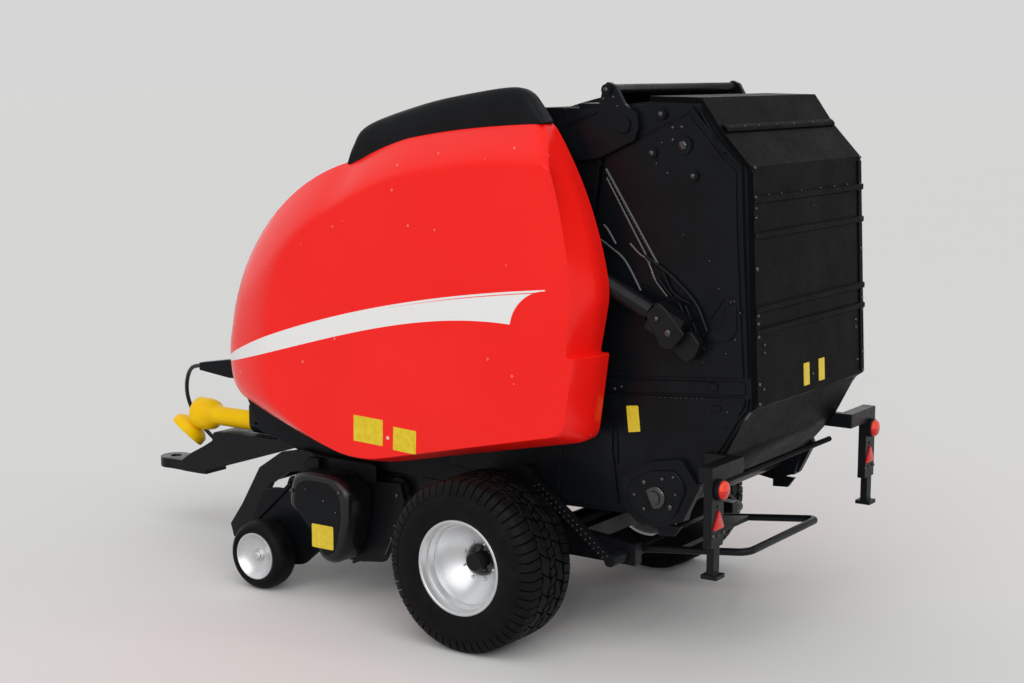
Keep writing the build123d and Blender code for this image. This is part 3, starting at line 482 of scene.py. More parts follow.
# An outline with each corner rounded by a short curve that starts the same distance before and after it
def rounded(outline, radius, steps=4):
    curve = []
    for before, here, after in zip(outline[-1:] + outline[:-1], outline, outline[1:] + outline[:1]):
        ends = []
        for other in (before, after):
            run = dist(here, other)
            ends.append(between(here, other, min(radius, run * 0.45) / run))
        curve.extend(roundCorner(ends[0], here, ends[1], i / steps) for i in range(steps + 1))
    return curve


# Points of a smooth curve through a few places
def flowing(places, steps=6):
    curve = []
    padded = [places[0]] + list(places) + [places[-1]]
    for a, b, c, d in zip(padded, padded[1:], padded[2:], padded[3:]):
        for i in range(steps):
            t = i / steps
            curve.append(tuple(0.5 * (2 * b[k] + (c[k] - a[k]) * t
                                      + (2 * a[k] - 5 * b[k] + 4 * c[k] - d[k]) * t**2
                                      + (3 * b[k] - a[k] - 3 * c[k] + d[k]) * t**3) for k in range(len(b))))
    curve.append(tuple(places[-1]))
    return curve


# The free hose: it leaves the holder, falls ahead of the shaft and ends on the drawbar
hose = {
    "radius": 0.45, "length": 32.15,
    "route": [(96.75, 0, 35.7), (99.7, -0.6, 35.4), (102.5, -1.8, 33.8), (104.5, -2.9, 31.0),
              (105.4, -3.8, 27.8), (105.0, -4.8, 24.4), (103.3, -5.5, 21.4), (100.6, -5.8, 19.0),
              (97.2, -5.6, 17.2), (93.0, -5.0, 16.3)]}
hoseCurve = bpy.data.curves.new("free_hose", "CURVE")
hoseCurve.dimensions = "3D"
hoseCurve.bevel_depth = hose["radius"] * mm
hoseCurve.bevel_resolution = 4
hoseCurve.use_fill_caps = True
spline = hoseCurve.splines.new("NURBS")
spline.points.add(len(hose["route"]) - 1)
for point, spot in zip(spline.points, hose["route"]):
    point.co = (*place(*spot), 1)
spline.order_u = 3
spline.use_endpoint_u = True
spline.resolution_u = 8
freeHose = addObject("free_hose", hoseCurve)
hoseCurve.materials.append(hoseBlack.material)
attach(freeHose, "frame")
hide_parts("hydraulic_hose")
tuple(place(*hose["route"][0]))
hose["length"] * mm
2 * hose["radius"] * mm
print("hose laid")

# Side covers: rows of face x, z, rim x, z, corner rounding, steps of the stretch after it, how far it bulges
# between face and rim, and the arc middles of that stretch, or None where it is straight
coverShape = {
    "outline": [(45.3, 50, 59.9, 51, 3.0, 14, 0.1, (42.0, 64.6, 50.8, 70.4)),
                (31, 73.7, 29, 83.2, 4.0, 7, 0.4, (20.5, 78.8, 20.8, 86.9)),
                (8, 81.8, 12, 88.9, 5.0, 12, 0.45, (-4, 83.2, 0.4, 90.2)),
                (-16.0, 83.8, -10.8, 91.0, 2.2, 12, 0.15, (-18.7, 73.4, -18.1, 78.0)),
                (-20.0, 62, -22.4, 62.6, 2.4, 6, 0.1, None),
                (-19.2, 52.8, -20.6, 52.8, 0.4, 2, 0.1, None),
                (-20.8, 52.8, -22.3, 52.8, 0.5, 8, 0.1, None),
                (-18.8, 39.8, -20.3, 38.0, 2.4, 14, 0.15, None),
                (24, 30.3, 24.5, 28.6, 5.0, 14, 0.25, (36, 33.7, 42, 32.1)),
                (45.4, 39.6, 59.2, 38.4, 2.6, 7, 0.25, (45.8, 44.2, 60.6, 44.8))],
    "centre": (18, 52), "noseX": 45.3, "noseRadius": 20, "lean": 6.0, "wall": 1.0, "crown": 0.35,
    "edge": [(1.5, 0), (0.12, 0), (0.02, 0.06), (0.0, 0.16), (0.0, 0.84), (0.04, 0.97)],
    "faceShares": (0.04, 0.3, 0.55, 0.75, 0.88, 0.96),
    "reaches": (0, 0.05, 0.12, 0.2, 0.3, 0.4, 0.5, 0.6, 0.7, 0.8, 0.9, 1)}
coverLow, coverHigh = extent("side_cover_left")
coverY = coverHigh.y
coverInnerY = coverLow.y
noseY = coverY - coverShape["noseRadius"]
leanY = coverY - coverShape["lean"]
rimNoseX = coverShape["noseX"] + sqrt(coverShape["noseRadius"]**2 - (leanY - noseY)**2)


# A point part of the way along the circle through three points
def arcPoint(start, middle, end, t):
    (ax, az), (bx, bz), (cx, cz) = start, middle, end
    d = 2 * (ax * (bz - cz) + bx * (cz - az) + cx * (az - bz))
    sa, sb, sc = (ax * ax + az * az), (bx * bx + bz * bz), (cx * cx + cz * cz)
    ux = (sa * (bz - cz) + sb * (cz - az) + sc * (az - bz)) / d
    uz = (sa * (cx - bx) + sb * (ax - cx) + sc * (bx - ax)) / d
    first = atan2(az - uz, ax - ux)
    halfway = (atan2(bz - uz, bx - ux) - first + pi) % (2 * pi) - pi
    sweep = (atan2(cz - uz, cx - ux) - first + pi) % (2 * pi) - pi
    if sweep * halfway < 0:
        sweep += 2 * pi if halfway > 0 else -2 * pi
    reach = hypot(ax - ux, az - uz)
    angle = first + sweep * t
    return ux + reach * cos(angle), uz + reach * sin(angle)


# One ring of a cover at y, part of the way from its face (0) to its rim (1), drawn in by a wall
def coverRing(reach, y, shrink=0.0):
    centreX, centreZ = coverShape["centre"]
    depth = min(y + shrink - noseY, coverShape["noseRadius"])
    noseX = coverShape["noseX"] + sqrt(max(coverShape["noseRadius"]**2 - depth**2, 0))
    faceFront = coverShape["outline"][0][0]

    def shift(bulge, faceX, faceZ, rimX, rimZ):
        share = reach * (reach + (1 - reach) * bulge)
        x, z = between((faceX, faceZ), (rimX, rimZ), share)
        ahead = max(0, (x - centreX) / (rimNoseX - centreX))
        x += ahead**2 * (noseX - (faceFront * (1 - share) + rimNoseX * share))
        drawIn = 1.1 * shrink / hypot(x - centreX, z - centreZ)
        return x - drawIn * (x - centreX), z - drawIn * (z - centreZ)

    rows = coverShape["outline"]
    longest = 0.42  # a corner's curve takes no more than this share of a stretch
    corners = [shift(row[6], *row[:4]) for row in rows]
    stretches = []
    for i, row in enumerate(rows):
        start, end = corners[i], corners[(i + 1) % len(rows)]
        middle = shift(row[6], *row[7]) if row[7] else None
        run = dist(start, end)
        head = min(row[4] / run, longest)
        tail = 1 - min(rows[(i + 1) % len(rows)][4] / run, longest)
        points = []
        for k in range(row[5] + 1):
            t = head + (tail - head) * k / row[5]
            points.append(arcPoint(start, middle, end, t) if middle else between(start, end, t))
        stretches.append(points)
    ring = []
    for i, points in enumerate(stretches):
        ring.extend(roundCorner(stretches[i - 1][-1], corners[i], points[0], k / 6) for k in range(1, 6))
        ring.extend(points)
    return ring


def coverPiece(side, name):
    def shell(shrink):
        top = coverY - shrink
        rings = []
        face = coverRing(0, top, shrink)
        for share in coverShape["faceShares"]:
            y = top + coverShape["crown"] * (1 - share * share)
            inner = [between(coverShape["centre"], point, share) for point in face]
            rings.append([(x, side * y, z) for x, z in inner])
        for reach in coverShape["reaches"]:
            y = top - coverShape["lean"] * reach**2
            rings.append([(x, side * y, z) for x, z in coverRing(reach, y, shrink)])
        return rings

    shape = Shape()
    rings = shell(0)
    for rise, shrink in coverShape["edge"]:
        y = coverInnerY + rise
        rings.append([(x, side * y, z) for x, z in coverRing(1, y, shrink)])
    shape.loft(rings + shell(coverShape["wall"])[::-1])
    piece = shape.make(f"cover_shell_{name}", coverRed, "frame", crease=28)
    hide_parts(f"side_cover_{name}")


# Black strip on each cover's top, from its upper and lower edge and a section of (y, share of the height)
coverTrim = {
    "top": [(30.4, 83.0), (29.3, 86.4), (26.3, 89.6), (14.1, 93.3), (3.5, 95.3), (-4.2, 96.2), (-7.4, 95.4),
            (-9.5, 93.2), (-11.4, 90.6)],
    "bottom": [(30.4, 82.6), (29.6, 82.9), (26.5, 84.2), (14.1, 87.9), (3.5, 89.5), (-4.5, 90.2), (-8, 90.4),
               (-10, 90.5), (-11.3, 90.4)],
    "section": [(3.55, -0.12), (3.7, 0.05), (3.65, 0.4), (3.45, 0.68), (3.15, 0.85), (2.75, 0.95), (2.2, 1.0),
                (1.5, 1.01), (0.5, 0.99), (0.3, 0.5), (0.3, -0.12)]}


def trimPiece(side, name):
    rings = []
    for top, bottom in zip(flowing(coverTrim["top"]), flowing(coverTrim["bottom"])):
        ring = []
        for y, share in coverTrim["section"]:
            x, z = between(bottom, top, share)
            ring.append((x, side * (coverInnerY + y), z))
        rings.append(ring)
    piece = Shape().loft(rings).make(f"cover_strip_{name}", trimBlack, "frame", crease=40)
    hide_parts(f"cover_trim_{name}")


for side, name in bothSides:
    coverPiece(side, name)
    trimPiece(side, name)
print("covers made")

# Main tyres: sidewall and tread base as (depth from the outer face, reach), and the blocks of the tread
tyreLow, tyreHigh = extent("tyre_left")
tyreWidth = tyreHigh.y - tyreLow.y
tyreRadius = radiusOf("tyre_left")
rimLow, rimHigh = extent("rim_left")
rimFaceY = rimHigh.y
rimRadius = radiusOf("rim_left")
mainTyre = {
    "side": [(0.75, rimRadius - 0.1), (0.42, rimRadius + 0.15), (0.3, rimRadius + 0.5),
             (0.12, rimRadius + 0.9), (0.0, rimRadius + 2.2), (0.0, rimRadius + 3.4), (0.25, rimRadius + 4.4),
             (0.75, tyreRadius - 1.6), (1.6, tyreRadius - 0.95), (2.6, tyreRadius - 0.72)],
    "shoulder": [(3.55, 0), (1.6, -0.1), (0.95, -0.5), (0.42, -1.35), (0.14, -2.3), (0.3, -2.5), (1.0, -1.9),
                 (1.9, -1.2), (3.55, -0.85)],
    "blocks": 56, "gap": 0.2,
    "rows": [(4.0, 6.15, 28, 0.0, 0.5, 0.38), (6.6, 7.9, 56, 0.3, 0.34, 0.3),
             (8.3, 10.05, 28, 0.5, 0.5, 0.38)],
    "base": 0.8, "crownDrop": 0.03, "chamfer": 0.1, "brow": 0.12, "sway": (0.012, 1.6), "slant": 0.035,
    "slices": 6}


def onWheel(side, outerY, radius, depth, reach, angle):
    return (reach * cos(angle), side * (outerY - depth), radius + reach * sin(angle))


# A wheel part turned about its axle, from a profile of (depth from the outer face, reach)
def wheelRing(shape, side, outerY, axleHeight, profile, steps, x=0.0):
    closed = [(outerY - depth, reach) for depth, reach in profile]
    return shape.spun((x, 0, axleHeight), (0, side, 0), closed, steps)


def tyrePiece(side, name):
    outerY = tyreHigh.y
    far = [(tyreWidth - depth, reach) for depth, reach in mainTyre["side"]][::-1]
    shape = Shape()
    wheelRing(shape, side, outerY, tyreRadius, mainTyre["side"] + far, 168)
    count = mainTyre["blocks"]
    pitch = 2 * pi / count
    chamfer = mainTyre["chamfer"]
    section = [(depth, tyreRadius + drop) for depth, drop in mainTyre["shoulder"]]
    drawn = inset(section, chamfer)
    swayAngle, swayRate = mainTyre["sway"]
    brow = mainTyre["brow"]
    for mirrored in (False, True):
        for i in range(count):
            start = (i + (0.5 if mirrored else 0)) * pitch + mainTyre["gap"] / tyreRadius / 2
            end = start + pitch - mainTyre["gap"] / tyreRadius
            edge = chamfer / tyreRadius
            rings = []
            ends = ((start, drawn), (start + edge, section), (end - edge, section), (end, drawn))
            for angle, outline in ends:
                ring = []
                for depth, reach in outline:
                    across = tyreWidth - depth if mirrored else depth
                    sway = swayAngle * sin(depth * swayRate)
                    ring.append(onWheel(side, outerY, tyreRadius, across, reach, angle + sway))
                rings.append(ring)
            shape.loft(rings)
    # Rows between the shoulders: long slanting blocks with waved edges, on a lower base
    for low, high, blocks, offset, wave, gap in mainTyre["rows"]:
        step = 2 * pi / blocks
        slices = mainTyre["slices"]
        base = tyreRadius - mainTyre["base"]
        waves = 1 if blocks < count else 0.5
        slant = mainTyre["slant"] if blocks < count else -mainTyre["slant"]
        for i in range(blocks):
            start = (i + offset) * step + gap / tyreRadius / 2
            end = start + step - gap / tyreRadius
            rings = []
            for k in range(slices + 1):
                share = k / slices
                sway = wave * 0.5 * sin((i + offset + share) * 2 * pi * waves)
                tight = chamfer if k in (0, slices) else 0
                top = tyreRadius - mainTyre["crownDrop"] - tight * 0.6
                near, far = low + tight, high - tight
                ring = []
                for depth, reach in ((near, base), (near, top - brow), (near + brow, top), (far - brow, top),
                                     (far, top - brow), (far, base)):
                    angle = start + (end - start) * share + slant * (depth - (low + high) / 2)
                    ring.append(onWheel(side, outerY, tyreRadius, depth + sway, reach, angle))
                rings.append(ring)
            shape.loft(rings)
    piece = shape.make(f"treaded_tyre_{name}", tyreRubber, f"wheel_{name}", crease=32)
    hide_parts(f"tyre_{name}")


# Rims: a stepped lip round a deep bowl, as (depth from the rim's face, reach)
mainRim = {
    "bowl": [(0.15, 0.0), (0.03, -0.06), (0.0, -0.16), (0.0, -0.42), (0.1, -0.52), (0.3, -0.57),
             (1.25, -0.68), (1.42, -0.76), (1.42, -1.04), (1.55, -1.14), (2.6, -1.3), (2.75, -1.38),
             (2.75, -1.56), (2.95, -1.7), (3.5, -2.0), (4.2, -2.5), (4.9, -3.1), (5.6, -3.85), (6.2, -4.65),
             (6.6, -5.25), (6.85, -5.6)],
    "rear": [(0.2, 0.9), (0, 0.5), (0, 0.08), (0.1, 0)],  # rise from the back face, drop from the rim's edge
    "well": 2.6, "hubDepth": 7.4, "studs": 8, "studDepth": 6.35, "studReach": 3.3, "studRadius": 0.27,
    "lugs": 6, "lugReach": 1.95, "lugTurn": 0.3, "lugDepth": 0.5, "lugRadius": 0.45, "lugHeight": 0.9,
    "boss": 0.9, "cap": [(0.7, 1.5), (1.6, 1.4), (1.9, 1.1), (2.0, 0.5)]}


def rimPiece(side, name):
    hubRadius = mainRim["well"]
    hubDepth = mainRim["hubDepth"]
    back = rimFaceY - rimLow.y
    profile = [(depth, rimRadius + drop) for depth, drop in mainRim["bowl"]]
    profile += [(hubDepth + 0.4, hubRadius), (hubDepth + 1.2, hubRadius + 0.2), (hubDepth, rimRadius - 2.6),
                *[(back - rise, rimRadius - drop) for rise, drop in mainRim["rear"]]]
    shape = Shape()
    wheelRing(shape, side, rimFaceY, tyreRadius, profile, 96)
    for i in range(mainRim["studs"]):
        angle = 2 * pi * (i + 0.5) / mainRim["studs"]
        centre = onWheel(side, rimFaceY, tyreRadius, mainRim["studDepth"], mainRim["studReach"], angle)
        shape.bolt(centre, (0, side, 0), mainRim["studRadius"], 0.35)
    piece = shape.make(f"wheel_disc_{name}", rimSilver, f"wheel_{name}", crease=50)
    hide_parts(f"rim_{name}")
    # Black hub deep in the bowl: a boss, lugs round it and a cap
    hub = Shape()
    centre = (0, side * (rimFaceY - hubDepth - mainRim["boss"]), tyreRadius)
    flange = [(0, hubRadius + 0.1), (0.5, hubRadius + 0.1), (0.6, hubRadius - 0.3)]
    hub.turned(centre, (0, side, 0), flange + mainRim["cap"], 32)
    for i in range(mainRim["lugs"]):
        angle = 2 * pi * i / mainRim["lugs"] + mainRim["lugTurn"]
        spot = onWheel(side, rimFaceY, tyreRadius, hubDepth + mainRim["lugDepth"], mainRim["lugReach"], angle)
        hub.bolt(spot, (0, side, 0), mainRim["lugRadius"], mainRim["lugHeight"])
    hub.make(f"wheel_hub_{name}", glossBlack, f"wheel_{name}")


# Gauge wheels: a round-shouldered tyre and a dished silver disc, as (depth from the outer face, reach)
gaugeLow, gaugeHigh = extent("gauge_tyre_left")
gaugeRadius = radiusOf("gauge_tyre_left")
gaugeX = middleOf("gauge_tyre_left").x
gaugeWidth = gaugeHigh.y - gaugeLow.y
gaugeRim = radiusOf("gauge_rim_left")
gaugeTyre = {
    "side": [(0.35, -0.02), (0.12, 0.1), (0.02, 0.45), (0.0, 0.75), (0.12, 1.05), (0.4, 1.4), (0.8, 1.72),
             (1.35, 1.95), (1.9, 2.04), (2.3, 2.05)],
    "disc": [(0.25, 0.0), (0.05, -0.1), (0.0, -0.25), (0.12, -0.42), (0.42, -0.62), (0.8, -1.0), (1.2, -1.6),
             (1.5, -2.3), (1.65, -2.9), (1.6, -3.3), (1.15, -3.45), (0.95, -3.6)],
    "bore": 0.86, "capDepth": 1.4, "cap": [(0, 0.84), (0.55, 0.8), (0.75, 0.5), (0.8, 0.1)]}


def gaugePieces(side, name):
    outerY = gaugeHigh.y
    near = [(depth, gaugeRim + rise) for depth, rise in gaugeTyre["side"]]
    far = [(gaugeWidth - depth, reach) for depth, reach in near][::-1]
    shape = Shape()
    wheelRing(shape, side, outerY, gaugeRadius, near + far, 72, gaugeX)
    piece = shape.make(f"gauge_rubber_{name}", tyreRubber, f"gauge_{name}", crease=40)
    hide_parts(f"gauge_tyre_{name}")
    profile = [(depth, gaugeRim + drop) for depth, drop in gaugeTyre["disc"]]
    bore = gaugeTyre["bore"]
    profile += [(0.95, bore), (gaugeWidth, bore), (gaugeWidth, gaugeRim)]
    disc = Shape()
    wheelRing(disc, side, outerY, gaugeRadius, profile, 64, gaugeX)
    disc.turned((gaugeX, side * (outerY - gaugeTyre["capDepth"]), gaugeRadius), (0, side, 0),
                gaugeTyre["cap"], 20)
    piece = disc.make(f"gauge_disc_{name}", rimSilver, f"gauge_{name}", crease=40)
    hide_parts(f"gauge_rim_{name}")


for side, name in bothSides:
    tyrePiece(side, name)
    rimPiece(side, name)
    gaugePieces(side, name)
print("wheels made")

# Drive shaft guard: a tube that flares to an open bell, and the dished cone of the front joint
shaftLow, shaftHigh = extent("pto_shaft")
shaftGuard = {
    "radius": 2.05, "bell": [(7.6, 2.05), (6.2, 2.08), (5.5, 2.2), (5.0, 2.6), (4.3, 3.15), (3.4, 3.36),
                             (2.0, 3.46), (0.12, 3.5), (0.0, 3.4), (0.0, 2.95), (0.12, 2.82), (2.4, 2.7),
                             (3.7, 2.5), (3.8, 0.4)],
    "coneAt": (1.9, -0.8, -2.4), "coneLine": (0.45, 0.55, -0.70), "neck": 0.9,
    "cone": [(0.0, 1.2), (0.0, 1.7), (0.1, 1.95), (0.4, 2.7), (0.8, 3.4), (1.2, 3.9), (1.6, 4.12), (2.2, 4.2),
             (2.9, 4.2), (3.15, 4.1), (3.2, 3.9), (3.1, 3.6), (2.6, 3.3), (2.1, 2.8), (1.85, 2.2),
             (2.45, 2.0), (2.6, 1.85), (2.6, 1.4), (2.5, 1.3), (0.8, 1.3)],
    "collar": [(-0.2, 2.3), (0.1, 2.45)], "collarEnd": 81.3}
shaftZ = middleOf("pto_shaft").z
shaft = Shape()
shaft.turned((0, 0, shaftZ), (1, 0, 0), [(shaftLow.x, 0.4), (shaftLow.x, shaftGuard["radius"] - 0.1),
                                         (shaftLow.x + 0.1, shaftGuard["radius"])]
             + [(shaftHigh.x - back, radius) for back, radius in shaftGuard["bell"]], 40)
piece = shaft.make("shaft_guard", shaftYellow, "frame", crease=45)
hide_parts("pto_shaft")
ahead, aside, above = shaftGuard["coneAt"]
coneSpot = Vector((shaftHigh.x + ahead, aside, shaftZ + above))
coneLine = Vector(shaftGuard["coneLine"]).normalized()
cone = Shape()
cone.turned(coneSpot, coneLine, shaftGuard["cone"], 48)
cone.bar([(shaftHigh.x - 3.7, 0, shaftZ), tuple(coneSpot + coneLine * 0.3)], shaftGuard["neck"], 20)
piece = cone.make("shaft_cone", shaftYellow, "frame", crease=45)
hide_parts("pto_cone")
collar = Shape()
collarLong = shaftGuard["collarEnd"] - shaftLow.x
collar.turned((shaftLow.x, 0, shaftZ), (1, 0, 0),
              shaftGuard["collar"] + [(collarLong - 0.3, 2.4), (collarLong, 2.2), (collarLong, 0.5)], 32)
collar.make("shaft_collar", frameBlack, "frame", crease=45)
print("shaft made")

# Faces that the small fittings stand on, as distances across from the middle
sideY = extent("chamber_side_left")[1].y
earY = sideY + 1.2
bearingY = sideY + 1.4
strutY = sideY + 2.4
rearX = extent("tailgate_skin")[0].x
blockY = extent("cylinder_rod_left")[1].y

# Tailgate sides: plates with seams between them, raised lines, hoses, bolts and the bearing's plate
tailgateSide = {
    "thin": 0.14, "thick": 0.3,
    "upper": [(-19.9, 91.3), (-21.3, 93.0), (-26.5, 93.6), (-34.6, 93.4), (-33.9, 92.25), (-24.3, 87.95),
              (-18.9, 85.5)],
    "plates": [[(-18.7, 84.75), (-24.3, 87.45), (-34.0, 91.75), (-40.4, 84.9), (-42.6, 83.0), (-43.0, 73.9),
                (-43.7, 63.7), (-44.7, 49.95), (-12.8, 47.55)],
               [(-12.9, 47.05), (-44.9, 49.35), (-45.1, 47.2), (-23.6, 45.6), (-13.2, 45.0)],
               [(-13.4, 44.6), (-23.7, 45.2), (-45.0, 46.75), (-45.1, 45.7), (-40.9, 38.0), (-36.5, 31.8),
                (-34.9, 25.3), (-9.9, 25.1)]],
    "hook": [(-41.4, 61.6), (-43.3, 61.6), (-43.4, 57.5), (-42.2, 55.9), (-39.0, 55.4), (-37.8, 55.9),
             (-38.5, 57.3), (-40.1, 57.4), (-40.9, 58.6)],
    "ridges": [([(-18.75, 81.3), (-27.3, 67.5)], 0.3, 0.35), ([(-18.6, 82.8), (-28.7, 67.5)], 0.32, 0.35)],
    "lines": [([(-34.6, 93.1), (-40.7, 86.2)], 0.8, 0.5),
              ([(-36.0, 93.0), (-38.9, 88.6), (-43.6, 83.9), (-44.2, 72.2), (-45.5, 50.2)], 0.55, 0.5),
              ([(-20.3, 44.0), (-20.2, 35.2), (-21.6, 26.3)], 0.5, 0.6),
              ([(-21.0, 42.2), (-21.4, 33.0)], 0.3, 0.5),
              ([(-45.6, 46.6), (-45.5, 45.2), (-43.5, 42.6), (-41.2, 38.6), (-37.4, 34.0), (-36.2, 31.6)],
               0.5, 0.5),
              ([(-38.6, 59.2), (-41.0, 62.8)], 0.3, 0.45), ([(-39.8, 41.2), (-42.0, 41.6)], 0.35, 0.45)],
    "glossHoses": 3,
    "hoses": [([(-17.7, 70.9), (-20.0, 69.5), (-22.2, 68.0), (-24.0, 65.5), (-25.5, 62.9)], 0.3, 0.35),
              ([(-18.2, 73.4), (-19.0, 72.7), (-20.6, 70.4)], 0.3, 0.3),
              ([(-23.4, 70.6), (-25.2, 69.0), (-26.6, 68.2), (-27.4, 66.8), (-28.4, 64.7), (-30.6, 62.3)],
               0.3, 0.35),
              ([(-26.6, 68.9), (-27.6, 68.1), (-30.5, 66.4), (-33.9, 63.7), (-36.3, 61.2), (-37.5, 58.8),
                (-38.2, 57.2)], 0.32, 0.62),
              ([(-29.4, 67.2), (-30.3, 65.6), (-31.5, 63.4), (-33.2, 62.2), (-35.1, 61.5)], 0.26, 0.62),
              ([(-28.8, 65.3), (-31.5, 62.5)], 0.28, 0.62), ([(-33.0, 61.4), (-35.6, 56.7)], 0.3, 0.62),
              ([(-34.2, 61.0), (-37.8, 54.0)], 0.3, 0.62)],
    "bolts": [(-31.1, 89.9, 0.3), (-32.8, 90.0, 0.3), (-31.2, 87.9, 0.3), (-30.3, 82.5, 0.22),
              (-28.2, 84.0, 0.2), (-29.2, 87.4, 0.2), (-33.4, 72.6, 0.16), (-38.3, 68.6, 0.2),
              (-40.1, 64.2, 0.18), (-42.3, 62.2, 0.22), (-42.9, 62.4, 0.2), (-44.0, 60.6, 0.2),
              (-43.2, 56.2, 0.22), (-41.6, 53.8, 0.2), (-37.4, 52.0, 0.16), (-22.0, 46.4, 0.25),
              (-20.6, 45.9, 0.3), (-42.0, 44.2, 0.2)],
    "bosses": [(-33.3, 87.1, 0.75), (-29.1, 92.0, 0.5), (-27.5, 85.7, 0.5), (-35.2, 82.2, 0.5)],
    "latch": [((-40.1, -38.7), (47.4, 48.7), 0.7), ((-40.7, -39.2), (44.1, 45.0), 0.6)],
    "label": [(-22.9, 43.2), (-25.2, 43.5), (-25.7, 39.1), (-23.4, 38.7)],
    "bearing": [(-24.2, 30.4), (-24.5, 26.7), (-26.4, 24.8), (-30.0, 24.4), (-33.2, 25.6), (-35.4, 30.8),
                (-33.2, 33.6), (-28.4, 33.0)],
    "bearingBolts": [(-27.4, 30.9, 0.5), (-30.9, 31.9, 0.4), (-27.5, 26.4, 0.4), (-32.4, 27.3, 0.55),
                     (-33.5, 29.6, 0.3), (-33.0, 32.5, 0.35), (-25.6, 28.6, 0.35)],
    "collar": [(-0.1, 1.9), (0.35, 1.9), (0.5, 1.7), (0.55, 1.25), (0.95, 1.15), (1.05, 0.9), (1.1, 0.2)],
    "clamp": [(-29.6, 24.0), (-29.6, 21.9), (-32.6, 22.1), (-34.0, 24.0)],
    "beads": [((-18.9, 82.3), (-28.4, 67.9), 24, 0.6, 0.19), ((-29.6, 45.35), (-37.3, 45.95), 9, 0.3, 0.15)]}


def tailgateSidePieces(side, name):
    data = tailgateSide
    thin, thick = data["thin"], data["thick"]

    def at(height):
        return side * (sideY + height)

    panels = Shape()
    panels.plate(rounded(data["upper"], 0.4, 2), at(-0.1), at(thin), 0.08)
    for outline in data["plates"]:
        panels.plate(rounded(outline, 0.4, 2), at(-0.1), at(thick), 0.1)
    panels.plate(rounded(data["hook"], 0.6, 3), at(0.1), at(thick + 0.3), 0.12)
    for path, wide, height in data["lines"]:
        panels.strip(path, at(0), at(height + 0.1), wide)
    for xRange, zRange, height in data["latch"]:
        panels.block(xRange, tuple(sorted((at(0.1), at(height)))), zRange)
    panels.plate(rounded(data["bearing"], 1.2, 4), side * (bearingY - 0.1), side * (bearingY + 0.45), 0.15)
    panels.plate(data["clamp"], side * (sideY - 0.1), side * (sideY + 0.8), 0.15)
    lines = Shape()
    for i, (route, radius, height) in enumerate(data["hoses"]):
        points = [(x, side * (sideY + thick + height - 0.25), z) for x, z in flowing(route, 4)]
        (lines if i < data["glossHoses"] else panels).bar(points, radius, 8)
    panels.make(f"tailgate_panels_{name}", bodyBlack, "tailgate", crease=30)
    for path, radius, height in data["ridges"]:
        lines.bar([(x, at(height), z) for x, z in path], radius, 8)
    lines.make(f"tailgate_lines_{name}", glossBlack, "tailgate", crease=50)
    studs = Shape()
    studs.sideBolts(data["bolts"], side, sideY + thick, 0.28)
    studs.sideBolts(data["bosses"], side, sideY + 0.8, 0.35, 6)
    studs.sideBolts(data["bearingBolts"], side, bearingY + 0.45, 0.4, 6)
    roller = middleOf("tailgate_roller_lower")
    studs.turned((roller.x, side * (bearingY + 0.35), roller.z), (0, side, 0), data["collar"], 28)
    for start, end, count, height, radius in data["beads"]:
        beads = [(*between(start, end, i / (count - 1)), radius) for i in range(count)]
        studs.sideBolts(beads, side, sideY + height, 0.22, 6)
    studs.make(f"tailgate_studs_{name}", glossBlack, "tailgate", crease=50)
    label = Shape().plate(rounded(data["label"], 0.2, 2), at(thick - 0.05), at(thick + 0.08), 0.03)
    label.make(f"side_label_{name}", labelYellow, "tailgate")


# Tailgate rear and top: edge flanges, bolts, blank plates, a rounded lip over the bend and a bar below
tailgateRear = {
    "foot": 45.3, "lean": 0.04656, "flange": (19.7, 21.1), "flangeZ": (46.0, 83.2),
    "edgeBolts": [(83.8, 0.26), (79.1, 0.3), (77.4, 0.22), (75.9, 0.22), (73.1, 0.32), (67.7, 0.38),
                  (60.2, 0.32), (58.9, 0.32), (56.8, 0.34), (49.1, 0.32), (45.9, 0.3)],
    "innerBolts": [(18.0, 55.2), (18.0, 53.9), (18.5, 48.0), (-18.0, 55.2), (-18.0, 53.9), (-18.5, 48.0),
                   (0, 48.0)],
    "specks": [(16.0, 79.3), (11.5, 79.3), (4.0, 79.3), (-3.5, 79.3), (-9.0, 79.3), (-14.5, 79.3),
               (-1.4, 76.5)],
    "stepZ": 77, "labels": [(1.4, 3.5), (-4.6, -2.4)], "labelZ": (46.4, 50.2),
    "bend": (7.06, 89.53), "lip": [(-0.55, -0.25), (-0.5, 0.35), (0.15, 0.95), (0.7, 0.85), (0.4, -0.1)],
    "half": 20.4, "lipSpecks": (-17, -11.5, -4, 2.5, 9, 14, 18.5), "underBar": (6.0, 20.6, 32.4, 0.5)}


def onRear(z, out=0.0):
    return rearX + tailgateRear["lean"] * (z - tailgateRear["foot"]) - out


# The outline of a sheet on the rear, between two heights and two distances out from it
def rearSheet(low, high, inner, outer):
    return [(onRear(low, inner), low), (onRear(high, inner), high), (onRear(high, outer), high),
            (onRear(low, outer), low)]


